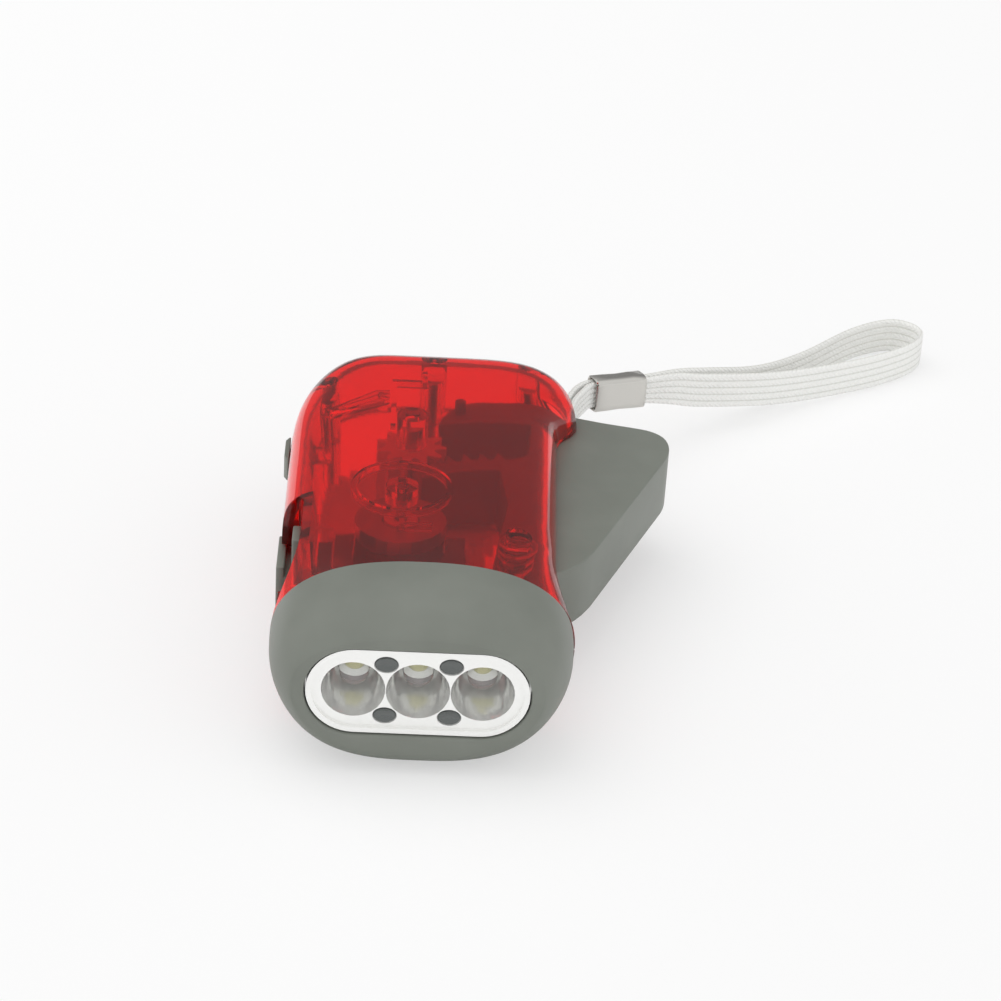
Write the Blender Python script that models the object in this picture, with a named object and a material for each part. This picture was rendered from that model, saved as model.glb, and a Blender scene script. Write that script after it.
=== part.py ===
"""Hand-press dynamo flashlight: a lever turns a gear train and a magnet rotor that lights three LEDs."""
import math

import bmesh
import bpy

for old in list(bpy.data.objects):
    bpy.data.objects.remove(old, do_unlink=True)

# X points to the lever's side, Y from the light to the tail, Z up from the flat bottom.
# Distances "back" are counted from the plane of the light's rim towards the tail.
GAP = 0.0003
RUN_GAP = 0.0004
OVERRUN = 0.003
SHARP_EDGE_DEG = 35

# Case
CASE_LENGTH = 0.0965
HEAD_DEPTH = 0.0155
NECK_BACK = 0.030
CASE_HALF_WIDTH = 0.0242
CASE_HEIGHT = 0.0305
SEAM_HEIGHT = 0.0156
WALL = 0.0018
BOTTOM_SINK = 0.0005
BODY_SQUARENESS = 5.5
HEAD_SQUARENESS = 2.4
TAIL_SQUARENESS = 2.7
TAIL_CENTRE_X = 0.0020
LEFT_TAPER_LENGTH = 0.0325
RIGHT_NECK_WIDTH = 0.0228
RIGHT_REAR_WIDTH = 0.0240
RIGHT_COLLAR_WIDTH = 0.0260
RIGHT_BULGE_LENGTH = 0.0235
RIGHT_FULL_LENGTH = 0.0175
RIGHT_TAIL_WIDTH = 0.0258
RIGHT_TAIL_LENGTH = 0.0185
TAIL_ROUND_LENGTH = 0.012
TAIL_ROUND_SQUARENESS = 3.5

# Head bezel and light
HEAD_FLARE_WIDTH = 0.0010
HEAD_FLARE_HEIGHT = 0.00055
HEAD_CENTRE_X = 0.0004
HEAD_FULLNESS = 2.6
RIM_CREASE = 1.25
HEAD_UNDER_ROUNDNESS = 3.0
HEAD_UNDER_ACROSS = 2.9
HEAD_UNDER_UP = 1.8
OPENING_WIDTH = 0.037
OPENING_HEIGHT = 0.0165
RIM_WIDTH = 0.0021
REFLECTOR_DEPTH = 0.0112
REFLECTOR_WALL = 0.0009
REFLECTOR_SEAT = 0.0005
TRAY_DEPTH = 0.0006
BOWL_RADIUS = 0.00495
DIMPLE_RADIUS = 0.0013
DIMPLE_RISE = 0.0049
LED_PITCH = 0.0105
LED_RADIUS = 0.0025
LED_FLANGE_RADIUS = 0.0029
LED_FLANGE_DEPTH = 0.001
LED_LENGTH = 0.0086
LED_LEG_SIZE = 0.0005
LED_LEG_PITCH = 0.00254
LED_LEG_LENGTH = 0.0012
LED_BOARD_WIDTH = 0.033
LED_BOARD_HEIGHT = 0.0125
BOARD_THICKNESS = 0.0016

# Press lever
PIVOT_X = 0.0158
PIVOT_BACK = 0.0294
LEVER_LENGTH = 0.058
LEVER_DROP = 0.0052
LEVER_THICKNESS = 0.0115
LEVER_WALL = 0.0018
LEVER_STROKE_DEG = 20
HUB_RADIUS = 0.0042
PIVOT_PIN_RADIUS = 0.00125
PIVOT_PIN_LENGTH = 0.0165
LOCK_PEG_RADIUS = 0.001
LOCK_PEG_HEIGHT = 0.0023

# Gear train, one tooth size throughout
TOOTH_MODULE = 0.001
SECTOR_TEETH = 76
PINION_TEETH = 11
WHEEL_TEETH = 34
ROTOR_TEETH = 17
TOOTH_BACKLASH = 0.0003
TOOTH_RISE_SHARE = 0.9
TOOTH_FALL_SHARE = 1.15
TOOTH_FLANK_DEG = 20
SECTOR_RIM_DEPTH = 0.005
WHEEL_DROP = 0.0049
WHEEL_THICKNESS = 0.003
GEAR_AXLE_RADIUS = 0.001
GEAR_BOSS_RADIUS = 0.0028

# Dynamo
ROTOR_X = -0.0039
ROTOR_BACK = 0.0434
ROTOR_AXLE_RADIUS = 0.00085
ROTOR_HUB_RADIUS = 0.003
MAGNET_RADIUS = 0.0077
MAGNET_HEIGHT = 0.0086
FLYWHEEL_RADIUS = 0.008
FLYWHEEL_HEIGHT = 0.0025
BEARING_BOSS_RADIUS = 0.00285
BEARING_BOSS_DROP = 0.0030
RING_RADIUS = 0.0087
RING_WALL = 0.0009
RING_DROP = 0.0013
POLE_GAP = 0.0006
POLE_WIDTH = 0.0030
CORE_DROP = 0.0028
CORE_THICKNESS = 0.004
CORE_BAR_BACK = 0.0270
CORE_BAR_WIDTH = 0.003
POLE_END_BACK = 0.046
CORE_POST_RADIUS = 0.0014
BOBBIN_LENGTH = 0.0135
BOBBIN_RADIUS = 0.0044
BOBBIN_TUBE_RADIUS = 0.0030
BOBBIN_FLANGE = 0.0008
WINDING_RADIUS = 0.0041

# Lever spring, wound round the pivot boss
SPRING_WIRE_RADIUS = 0.0004
SPRING_RADIUS = 0.0030
SPRING_TURNS = 3.25
SPRING_PITCH = 0.00127
SPRING_LEG_LENGTH = 0.0014
SPRING_CURL_POINTS = 10
PIVOT_BOSS_RADIUS = 0.0021
PIVOT_SEAT_RADIUS = 0.0038

# Sliders on the left side
RECESS_DEPTH = 0.0037
RECESS_START = 0.0295
RECESS_END = 0.0445
RECESS_DROP = 0.0062
RECESS_RISE = 0.0034
SHOULDER_BACK = 0.0400
SWITCH_BACK = 0.0384
SWITCH_LENGTH = 0.0105
SWITCH_PLATE_DROP = 0.0056
SWITCH_PLATE_RISE = 0.0029
SWITCH_PLATE_THICKNESS = 0.0014
SWITCH_TAB_LENGTH = 0.0050
SWITCH_TAB_DEPTH = 0.0065
SWITCH_TRAVEL = 0.003
SWITCH_PROUD = 0.0006
SWITCH_PEG_SIZE = 0.0018
SWITCH_BODY_DEPTH = 0.0026
SWITCH_BODY_LENGTH = 0.0086
SWITCH_BODY_HEIGHT = 0.0055
LOCK_TAIL_INSET = 0.0235
LOCK_LENGTH = 0.0080
LOCK_HEIGHT = 0.0046
LOCK_RISE = 0.0016
LOCK_THICKNESS = 0.0012
LOCK_TRAVEL = 0.004
LOCK_NECK_LENGTH = 0.003
LOCK_NECK_HEIGHT = 0.0024
LOCK_RISER_INSET = 0.0052
LOCK_ARM_THICKNESS = 0.0014
LOCK_ARM_DEPTH = 0.0057
LOCK_ARM_END_X = -0.0080
LOCK_TOOTH_SIZE = 0.0024
LOCK_TOOTH_TAIL_INSET = 0.0148
LOCK_TOOTH_CLEARANCE = 0.0005

# Charge store
CELL_RADIUS = 0.00575
CELL_HEIGHT = 0.0030
CELL_X = 0.0121
CELL_BACK = 0.0420
CELL_SEAT_RADIUS = 0.0045
CELL_SEAT_DROP = 0.0077
LINK_THICKNESS = 0.0002
LINK_WIDTH = 0.004
LINK_LENGTH = 0.009
CHARGE_BOARD_LEFT_X = -0.0115
CHARGE_BOARD_WIDTH = 0.0130
CHARGE_BOARD_BACK = 0.0260
CHARGE_BOARD_DEPTH = 0.0120
CAPACITOR_RADIUS = 0.0025
CAPACITOR_HEIGHT = 0.005
RECTIFIER_SIZE = 0.0042
RECTIFIER_HEIGHT = 0.0022
PART_EDGE = 0.0006

# Case screws, driven in from below
SCREW_POST_RADIUS = 0.0024
SCREW_RADIUS = 0.0009
SCREW_HEAD_RADIUS = 0.0017
SCREW_HEAD_HEIGHT = 0.0012
SCREW_HEAD_SINK = 0.0034
SCREW_LENGTH = 0.019
SCREW_SLOT_SHARE = 0.8
MIDDLE_POST_X = 0.0012
MIDDLE_POST_TAIL_INSET = 0.0053
RIGHT_POST_X = 0.0190
RIGHT_POST_TAIL_INSET = 0.0063
LEFT_POST_X = -0.0185
LEFT_POST_TAIL_INSET = 0.0145

# Lanyard
STRAP_WIDTH = 0.0075
STRAP_THICKNESS = 0.0010
STRAP_NECK_WIDTH = 0.0056
STRAP_NECK_LENGTH = 0.034
STRAP_SPREAD_LENGTH = 0.014
ANCHOR_WIDTH = 0.0042
ANCHOR_END_X = 0.0222
LANYARD_EXIT_TAIL_INSET = 0.0046
CRIMP_LENGTH = 0.0120
CRIMP_WALL = 0.0005
LEVER_SLOT_CLEARANCE = 0.0003
LEVER_SLOT_START = 0.0271
LEVER_SLOT_TAIL_INSET = 0.0080

SEAM = GAP / 2
HEAD_Y = -CASE_LENGTH / 2
MID_HEIGHT = CASE_HEIGHT / 2
HEAD_HALF_WIDTH = CASE_HALF_WIDTH + HEAD_FLARE_WIDTH
HEAD_HALF_HEIGHT = MID_HEIGHT + HEAD_FLARE_HEIGHT
LEFT_TAPER_BACK = CASE_LENGTH - LEFT_TAPER_LENGTH
RIGHT_BULGE_START = CASE_LENGTH - RIGHT_BULGE_LENGTH
RIGHT_BULGE_END = CASE_LENGTH - RIGHT_FULL_LENGTH
LEVER_BOTTOM = SEAM_HEIGHT - LEVER_DROP
LEVER_TOP = LEVER_BOTTOM + LEVER_THICKNESS
GEAR_TOP = LEVER_TOP + GAP
WHEEL_BOTTOM = LEVER_BOTTOM - WHEEL_DROP
MAGNET_BOTTOM = LEVER_BOTTOM
PIVOT_SEAT_TOP = LEVER_BOTTOM - RUN_GAP
CELL_SEAT_TOP = LEVER_BOTTOM - CELL_SEAT_DROP
GEAR_BOSS_BOTTOM = GEAR_TOP + RUN_GAP
CORE_BOTTOM = SEAM_HEIGHT - CORE_DROP
RECESS_BOTTOM = SEAM_HEIGHT - RECESS_DROP
RECESS_TOP = SEAM_HEIGHT + RECESS_RISE
SWITCH_PLATE_BOTTOM = SEAM_HEIGHT - SWITCH_PLATE_DROP
SWITCH_PLATE_TOP = SEAM_HEIGHT + SWITCH_PLATE_RISE
SWITCH_TAB_TOP = CASE_HEIGHT - SWITCH_TAB_DEPTH
LOCK_BACK = CASE_LENGTH - LOCK_TAIL_INSET
LOCK_MIDDLE = SEAM_HEIGHT + LOCK_RISE
LOCK_ARM_BOTTOM = CASE_HEIGHT - LOCK_ARM_DEPTH
LOCK_TOOTH_BACK = CASE_LENGTH - LOCK_TOOTH_TAIL_INSET
LOCK_TOOTH_BOTTOM = LEVER_TOP + LOCK_TOOTH_CLEARANCE
SCREW_PLACES = ((MIDDLE_POST_X, CASE_LENGTH - MIDDLE_POST_TAIL_INSET),
                (RIGHT_POST_X, CASE_LENGTH - RIGHT_POST_TAIL_INSET),
                (LEFT_POST_X, CASE_LENGTH - LEFT_POST_TAIL_INSET))
LANYARD_EXIT_BACK = CASE_LENGTH - LANYARD_EXIT_TAIL_INSET
LEVER_SLOT_END = CASE_LENGTH - LEVER_SLOT_TAIL_INSET
PIVOT_Y = HEAD_Y + PIVOT_BACK
ROTOR_Y = HEAD_Y + ROTOR_BACK


def metal_or_plastic(name, red, green, blue, roughness, metallic=0.0):
    """A plain surface in one colour."""
    finish = bpy.data.materials.new(name)
    finish.use_nodes = True
    shader = finish.node_tree.nodes["Principled BSDF"]
    shader.inputs["Base Color"].default_value = (red, green, blue, 1.0)
    shader.inputs["Roughness"].default_value = roughness
    shader.inputs["Metallic"].default_value = metallic
    return finish


RED_PLASTIC = metal_or_plastic("red_plastic", 0.60, 0.04, 0.03, 0.25)
GREY_PLASTIC = metal_or_plastic("grey_plastic", 0.20, 0.22, 0.19, 0.5)
BRIGHT_METAL = metal_or_plastic("bright_metal", 0.80, 0.80, 0.80, 0.08, 1.0)
CLEAR_RESIN = metal_or_plastic("clear_resin", 0.85, 0.87, 0.88, 0.05)
STEEL = metal_or_plastic("steel", 0.55, 0.55, 0.56, 0.3, 1.0)
COPPER = metal_or_plastic("copper", 0.72, 0.33, 0.16, 0.35, 1.0)
MAGNET = metal_or_plastic("magnet", 0.06, 0.06, 0.065, 0.45)
BOARD = metal_or_plastic("board", 0.05, 0.20, 0.08, 0.5)
WHITE_PLASTIC = metal_or_plastic("white_plastic", 0.75, 0.75, 0.70, 0.45)
BLACK_PLASTIC = metal_or_plastic("black_plastic", 0.02, 0.02, 0.022, 0.5)
WHITE_STRAP = metal_or_plastic("white_strap", 0.80, 0.80, 0.76, 0.9)


def add_object(name, shape):
    """Turn a finished shape into an object of the scene."""
    bmesh.ops.recalc_face_normals(shape, faces=shape.faces)
    mesh = bpy.data.meshes.new(name)
    shape.to_mesh(mesh)
    shape.free()
    item = bpy.data.objects.new(name, mesh)
    bpy.context.collection.objects.link(item)
    return item


def finish_piece(item, material, origin=(0, 0, 0)):
    """Give the piece its material, smooth shading, and an origin on its own axis."""
    item.data.materials.clear()
    item.data.materials.append(material)
    for corner in item.data.vertices:
        corner.co.x -= origin[0]
        corner.co.y -= origin[1]
        corner.co.z -= origin[2]
    item.location = origin
    item.data.shade_smooth()
    item.data.set_sharp_from_angle(angle=math.radians(SHARP_EDGE_DEG))
    return item


def loft(name, rings):
    """Skin a closed body over rings that have as many points each."""
    shape = bmesh.new()
    loops = [[shape.verts.new(point) for point in ring] for ring in rings]
    count = len(loops[0])
    for lower, upper in zip(loops, loops[1:]):
        for i in range(count):
            j = (i + 1) % count
            shape.faces.new((lower[i], lower[j], upper[j], upper[i]))
    shape.faces.new(list(reversed(loops[0])))
    shape.faces.new(loops[-1])
    return add_object(name, shape)


def prism(name, outline, bottom, top):
    """An outline in plan, raised from bottom to top."""
    return loft(name, [[(x, y, z) for x, y in outline] for z in (bottom, top)])


def block(name, low, high):
    """A box between two corners."""
    outline = ((low[0], low[1]), (high[0], low[1]), (high[0], high[1]), (low[0], high[1]))
    return prism(name, outline, low[2], high[2])


def circle(x, y, radius, count=16, turn=0.0):
    """Points round a circle in plan."""
    angles = [turn + i * math.tau / count for i in range(count)]
    return [(x + radius * math.cos(angle), y + radius * math.sin(angle)) for angle in angles]


def cylinder(name, x, y, radius, bottom, top, count=16):
    """An upright cylinder."""
    return prism(name, circle(x, y, radius, count), bottom, top)


def turned(name, x, y, profile, count=16):
    """A turned piece on an upright axis; the profile is (radius, height) from bottom to top."""
    return loft(name, [[(px, py, z) for px, py in circle(x, y, radius, count)] for radius, z in profile])


def carve(body, tool, operation="DIFFERENCE"):
    """Cut, join or trim the body with the tool, which is used up."""
    step = body.modifiers.new("carve", "BOOLEAN")
    step.operation = operation
    step.object = tool
    graph = bpy.context.evaluated_depsgraph_get()
    graph.update()
    mesh = bpy.data.meshes.new_from_object(body.evaluated_get(graph))
    body.modifiers.clear()
    body.data = mesh
    bpy.data.objects.remove(tool, do_unlink=True)
    return body


def join(body, tool):
    return carve(body, tool, "UNION")


def ease(share):
    """A smooth step from 0 to 1."""
    share = min(max(share, 0.0), 1.0)
    return share * share * (3 - 2 * share)


def rounded(share, squareness):
    """What is left of a width, this far along a rounded end."""
    share = min(max(share, 0.0), 1.0)
    return (1 - share ** squareness) ** (1 / squareness)


# The outer skin of the case, as a rule that the wall thickness moves inwards
def collar_flare(back):
    return max(NECK_BACK - back, 0.0) / (NECK_BACK - HEAD_DEPTH)


def left_edge(back, inset):
    flare = collar_flare(back)
    collar = HEAD_HALF_WIDTH - HEAD_CENTRE_X
    straight = CASE_HALF_WIDTH + (collar - CASE_HALF_WIDTH) * flare ** 2 - inset
    reach = CASE_HALF_WIDTH + TAIL_CENTRE_X - inset
    taper = (back - LEFT_TAPER_BACK) / (CASE_LENGTH - inset - LEFT_TAPER_BACK)
    if taper <= 0:
        return -straight
    return TAIL_CENTRE_X - reach * rounded(taper, TAIL_SQUARENESS)


def right_edge(back, inset):
    flare = collar_flare(back)
    run = max(back - NECK_BACK, 0.0) / (RIGHT_BULGE_START - NECK_BACK)
    side = RIGHT_NECK_WIDTH + (RIGHT_REAR_WIDTH - RIGHT_NECK_WIDTH) * min(run, 1.0)
    side += (RIGHT_COLLAR_WIDTH - RIGHT_NECK_WIDTH) * flare ** 2 - inset
    start = CASE_LENGTH - RIGHT_TAIL_LENGTH
    taper = (back - start) / (RIGHT_TAIL_LENGTH - inset)
    tail = TAIL_CENTRE_X + (RIGHT_TAIL_WIDTH - inset) * rounded(taper, TAIL_SQUARENESS)
    bulge = ease((back - RIGHT_BULGE_START) / (RIGHT_BULGE_END - RIGHT_BULGE_START))
    return (1 - bulge) * side + bulge * tail


def half_height(back, inset):
    flare = collar_flare(back)
    full = MID_HEIGHT + (HEAD_HALF_HEIGHT - MID_HEIGHT) * flare ** 2 - inset
    share = (back - CASE_LENGTH + TAIL_ROUND_LENGTH) / (TAIL_ROUND_LENGTH - inset)
    return full * rounded(share, TAIL_ROUND_SQUARENESS)


def head_squareness(angle):
    """How square the head's section is, across and upwards: a little flatter underneath than on top."""
    return (HEAD_SQUARENESS, HEAD_SQUARENESS) if math.sin(angle) > 0 else (HEAD_UNDER_ACROSS, HEAD_UNDER_UP)


def case_ring(back, inset, count):
    """One cross-section of the case, flat underneath."""
    flare = collar_flare(back)
    left = left_edge(back, inset)
    right = right_edge(back, inset)
    tall = half_height(back, inset)
    middle = HEAD_HALF_HEIGHT if flare >= 1 else MID_HEIGHT
    ring = []
    for i in range(count):
        angle = math.tau * i / count
        head_across, head_up = head_squareness(angle)
        across_power = 2 / (BODY_SQUARENESS + (head_across - BODY_SQUARENESS) * min(flare, 1.0))
        up_power = 2 / (BODY_SQUARENESS + (head_up - BODY_SQUARENESS) * min(flare, 1.0))
        across = math.copysign(abs(math.cos(angle)) ** across_power, math.cos(angle))
        up = math.copysign(abs(math.sin(angle)) ** up_power, math.sin(angle))
        x = right * across if across > 0 else -left * across
        z = middle + tall * up - (BOTTOM_SINK if up < 0 else 0) * abs(up)
        ring.append((x, HEAD_Y + back, max(z, inset)))
    return ring


COLLAR_SHARES = (0.0, 0.12, 0.28, 0.48, 0.68, 0.88, 1.0)
BODY_SHARES = (0.18, 0.38, 0.56, 0.64, 0.67, 0.695, 0.72, 0.75, 0.80, 0.86, 0.91, 0.945, 0.968, 0.984, 0.994,
               0.9985)


def case_solid(name, inset, count):
    """The case as a full body, smaller all round by the inset."""
    start = HEAD_DEPTH + GAP
    end = CASE_LENGTH - inset
    backs = [start + (NECK_BACK - start) * share for share in COLLAR_SHARES]
    backs += [NECK_BACK + (end - NECK_BACK) * share for share in BODY_SHARES]
    rings = [case_ring(back, inset, count) for back in backs]
    if inset:
        rings[0] = [(x, y - OVERRUN, z) for x, y, z in rings[0]]
    return loft(name, rings)


def along(distance, places):
    """Points at a distance back, from (x, back) pairs."""
    return [(x, HEAD_Y + back + distance) for x, back in places]


def gear_outline(x, y, teeth, turn, first=0, last=None):
    """Points round a gear, or round a sector's teeth from first to last; one tooth centre lies at turn."""
    pitch_radius = teeth * TOOTH_MODULE / 2
    pitch_angle = math.tau / teeth
    half = (math.pi * TOOTH_MODULE / 2 - TOOTH_BACKLASH) / 2
    rise = TOOTH_MODULE * TOOTH_RISE_SHARE
    fall = TOOTH_MODULE * TOOTH_FALL_SHARE
    slope = math.tan(math.radians(TOOTH_FLANK_DEG))
    points = []
    for k in range(first, teeth if last is None else last):
        middle = turn + k * pitch_angle
        for radius, side in ((pitch_radius - fall, -1), (pitch_radius + rise, -1),
                             (pitch_radius + rise, 1), (pitch_radius - fall, 1)):
            wide = half - (radius - pitch_radius) * slope
            angle = middle + side * wide / radius
            points.append((x + radius * math.cos(angle), y + radius * math.sin(angle)))
    return points


# Where the first gear's axle stands: in mesh with the lever's sector and with the rotor's pinion
SECTOR_RADIUS = SECTOR_TEETH * TOOTH_MODULE / 2
SECTOR_CENTRES = (SECTOR_TEETH + PINION_TEETH) * TOOTH_MODULE / 2
ROTOR_CENTRES = (WHEEL_TEETH + ROTOR_TEETH) * TOOTH_MODULE / 2


def mesh_point(x1, y1, distance1, x2, y2, distance2):
    """The tailward point at both distances from two axles."""
    span = math.hypot(x2 - x1, y2 - y1)
    along_line = (distance1 ** 2 - distance2 ** 2 + span ** 2) / (2 * span)
    aside = math.sqrt(distance1 ** 2 - along_line ** 2)
    ux, uy = (x2 - x1) / span, (y2 - y1) / span
    return x1 + ux * along_line - uy * aside, y1 + uy * along_line + ux * aside


GEAR_X, GEAR_Y = mesh_point(ROTOR_X, ROTOR_Y, ROTOR_CENTRES, PIVOT_X, PIVOT_Y, SECTOR_CENTRES)
SECTOR_LINE = math.atan2(GEAR_Y - PIVOT_Y, GEAR_X - PIVOT_X)
ROTOR_LINE = math.atan2(GEAR_Y - ROTOR_Y, GEAR_X - ROTOR_X)


# Case shells
def shell_bosses(upper):
    """Everything that stands on the inside of one shell."""
    low = SEAM_HEIGHT + SEAM if upper else -OVERRUN
    high = CASE_HEIGHT + OVERRUN if upper else SEAM_HEIGHT - SEAM
    bosses = [cylinder("post", x, HEAD_Y + back, SCREW_POST_RADIUS, low, high, 12) for x, back in SCREW_PLACES]
    left = -CASE_HALF_WIDTH + RECESS_DEPTH
    recess_wall = along(0, ((-CASE_HALF_WIDTH, RECESS_START - WALL), (left + WALL, RECESS_START - WALL),
                            (left + WALL, RECESS_END + WALL), (-CASE_HALF_WIDTH, RECESS_END + WALL)))
    wall_bottom = low if upper else RECESS_BOTTOM - WALL
    bosses.append(prism("recess_wall", recess_wall, wall_bottom, high))
    if upper:
        ceiling = CASE_HEIGHT - WALL
        bosses.append(cylinder("pivot", PIVOT_X, PIVOT_Y, PIVOT_BOSS_RADIUS, LEVER_TOP + RUN_GAP, high, 12))
        bosses.append(cylinder("axle", GEAR_X, GEAR_Y, GEAR_BOSS_RADIUS, GEAR_BOSS_BOTTOM, high, 14))
        bearing_low = ceiling - BEARING_BOSS_DROP
        bosses.append(cylinder("bearing", ROTOR_X, ROTOR_Y, BEARING_BOSS_RADIUS, bearing_low, high, 14))
        ring = cylinder("ring", ROTOR_X, ROTOR_Y, RING_RADIUS, ceiling - RING_DROP, high, 28)
        bore = cylinder("bore", ROTOR_X, ROTOR_Y, RING_RADIUS - RING_WALL, 0, high + OVERRUN, 28)
        bosses.append(carve(ring, bore))
    else:
        floor_top = WHEEL_BOTTOM - RUN_GAP
        bosses.append(cylinder("pivot", PIVOT_X, PIVOT_Y, PIVOT_SEAT_RADIUS, low, PIVOT_SEAT_TOP, 14))
        bosses.append(cylinder("axle", GEAR_X, GEAR_Y, GEAR_BOSS_RADIUS, low, floor_top, 14))
        bosses.append(cylinder("bearing", ROTOR_X, ROTOR_Y, BEARING_BOSS_RADIUS, low, floor_top, 14))
        arm = MAGNET_RADIUS + POLE_GAP + POLE_WIDTH / 2
        bar_y = HEAD_Y + CORE_BAR_BACK
        for x in (ROTOR_X - arm, ROTOR_X + arm):
            bosses.append(cylinder("core_post", x, bar_y, CORE_POST_RADIUS, low, CORE_BOTTOM - GAP, 10))
        seat_y = HEAD_Y + CELL_BACK
        bosses.append(cylinder("cell_seat", CELL_X, seat_y, CELL_SEAT_RADIUS, low, CELL_SEAT_TOP, 16))
        x, back = SCREW_PLACES[1]
        reach = ANCHOR_WIDTH / 2
        bosses.append(block("anchor", (x, HEAD_Y + back - reach, low), (ANCHOR_END_X, HEAD_Y + back + reach, high)))
    return bosses


def shell(name, upper):
    """One half of the case, hollow, with its bosses, the lever's slot and the sliders' openings."""
    wide = CASE_LENGTH
    low = SEAM_HEIGHT + SEAM if upper else -OVERRUN
    high = CASE_HEIGHT + OVERRUN if upper else SEAM_HEIGHT - SEAM
    body = case_solid(name, 0, 32)
    carve(body, block("half", (-wide, -wide, low), (wide, wide, high)), "INTERSECT")
    hollow = case_solid("hollow", WALL, 20)
    for boss in shell_bosses(upper):
        carve(hollow, boss)

    # The lever swings out through the right wall, and the strap leaves at the same slot's end
    slot = along(0, ((RIGHT_NECK_WIDTH - 2 * WALL, LEVER_SLOT_START), (wide, LEVER_SLOT_START),
                     (wide, LANYARD_EXIT_BACK), (ANCHOR_END_X, LANYARD_EXIT_BACK),
                     (ANCHOR_END_X, LEVER_SLOT_END), (CASE_HALF_WIDTH - 2 * WALL, LEVER_SLOT_END)))
    carve(body, prism("slot", slot, LEVER_BOTTOM - LEVER_SLOT_CLEARANCE, LEVER_TOP + LEVER_SLOT_CLEARANCE))
    carve(body, hollow)

    # Recess for the light switch: low and long below, open to the top between the collar and the shoulder
    left = -CASE_HALF_WIDTH + RECESS_DEPTH
    track = along(0, ((-wide, RECESS_START), (left, RECESS_START), (left, RECESS_END), (-wide, RECESS_END)))
    carve(body, prism("track", track, RECESS_BOTTOM, RECESS_TOP))
    middle = HEAD_Y + SWITCH_BACK
    reach = (SWITCH_PEG_SIZE + RUN_GAP) / 2
    peg_low = SEAM_HEIGHT - reach
    peg_high = SEAM_HEIGHT + reach
    carve(body, block("peg_slot", (left - WALL, middle - SWITCH_TRAVEL - reach - RUN_GAP, peg_low),
                      (left + 2 * WALL, middle + reach + RUN_GAP, peg_high)))
    if upper:
        collar = HEAD_DEPTH + GAP
        sweep = RECESS_START - collar
        gate = [(-wide, collar)]
        for share in (0.0, 0.25, 0.5, 0.75, 1.0):
            deep = (RECESS_DEPTH + WALL) * rounded(1 - share, 2)
            gate.append((deep - CASE_HALF_WIDTH - WALL, collar + sweep * share))
        gate += [(left, SHOULDER_BACK - WALL), (left - WALL / 2, SHOULDER_BACK), (-wide, SHOULDER_BACK + WALL)]
        carve(body, prism("gate", along(0, gate), RECESS_TOP - OVERRUN, high))
        neck = LOCK_NECK_LENGTH / 2 + RUN_GAP
        centre = HEAD_Y + LOCK_BACK
        neck_low = LOCK_MIDDLE - LOCK_NECK_HEIGHT / 2 - RUN_GAP
        neck_high = LOCK_MIDDLE + LOCK_NECK_HEIGHT / 2 + RUN_GAP
        carve(body, block("neck_slot", (-wide, centre - LOCK_TRAVEL - neck, neck_low),
                          (-CASE_HALF_WIDTH + 2 * WALL, centre + neck, neck_high)))
        pin_holes = ((PIVOT_X, PIVOT_Y, PIVOT_PIN_RADIUS, LEVER_TOP + 2 * WALL),
                     (GEAR_X, GEAR_Y, GEAR_AXLE_RADIUS, GEAR_BOSS_BOTTOM + 2 * WALL),
                     (ROTOR_X, ROTOR_Y, ROTOR_AXLE_RADIUS, CASE_HEIGHT - WALL))
        for x, y, radius, top in pin_holes:
            carve(body, cylinder("pin_hole", x, y, radius + GAP, SEAM_HEIGHT, top, 12))
    else:
        floor = 2 * WALL
        pin_holes = ((PIVOT_X, PIVOT_Y, PIVOT_PIN_RADIUS), (GEAR_X, GEAR_Y, GEAR_AXLE_RADIUS),
                     (ROTOR_X, ROTOR_Y, ROTOR_AXLE_RADIUS))
        for x, y, radius in pin_holes:
            bottom = PIVOT_SEAT_TOP - floor if x == PIVOT_X else WALL
            carve(body, cylinder("pin_hole", x, y, radius + GAP, bottom, SEAM_HEIGHT, 12))
    for x, back in SCREW_PLACES:
        y = HEAD_Y + back
        top = SCREW_HEAD_SINK + SCREW_HEAD_HEIGHT + SCREW_LENGTH + GAP
        carve(body, cylinder("screw_hole", x, y, SCREW_RADIUS + GAP, -OVERRUN, top, 10))
        if not upper:
            carve(body, cylinder("head_hole", x, y, SCREW_HEAD_RADIUS + GAP, -OVERRUN,
                                 SCREW_HEAD_SINK + SCREW_HEAD_HEIGHT + GAP, 12))
    return finish_piece(body, RED_PLASTIC)


shell("top_shell", True)
shell("bottom_shell", False)


# Head bezel: a flat rim round the opening, then a full round out to the collar
def stadium(half_width, half_height, count=8):
    """An outline with round ends, as (x, z) about its middle."""
    straight = half_width - half_height
    points = []
    for side in (1, -1):
        for i in range(count + 1):
            angle = math.pi * i / count - math.pi / 2
            wide = straight + half_height * math.cos(angle)
            points.append((side * wide, side * half_height * math.sin(angle)))
    return points


def lying_prism(name, outline, front, rear, middle):
    """An outline seen from the front, taken from front to rear along Y."""
    return loft(name, [[(x, y, middle + z) for x, z in outline] for y in (front, rear)])


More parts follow.
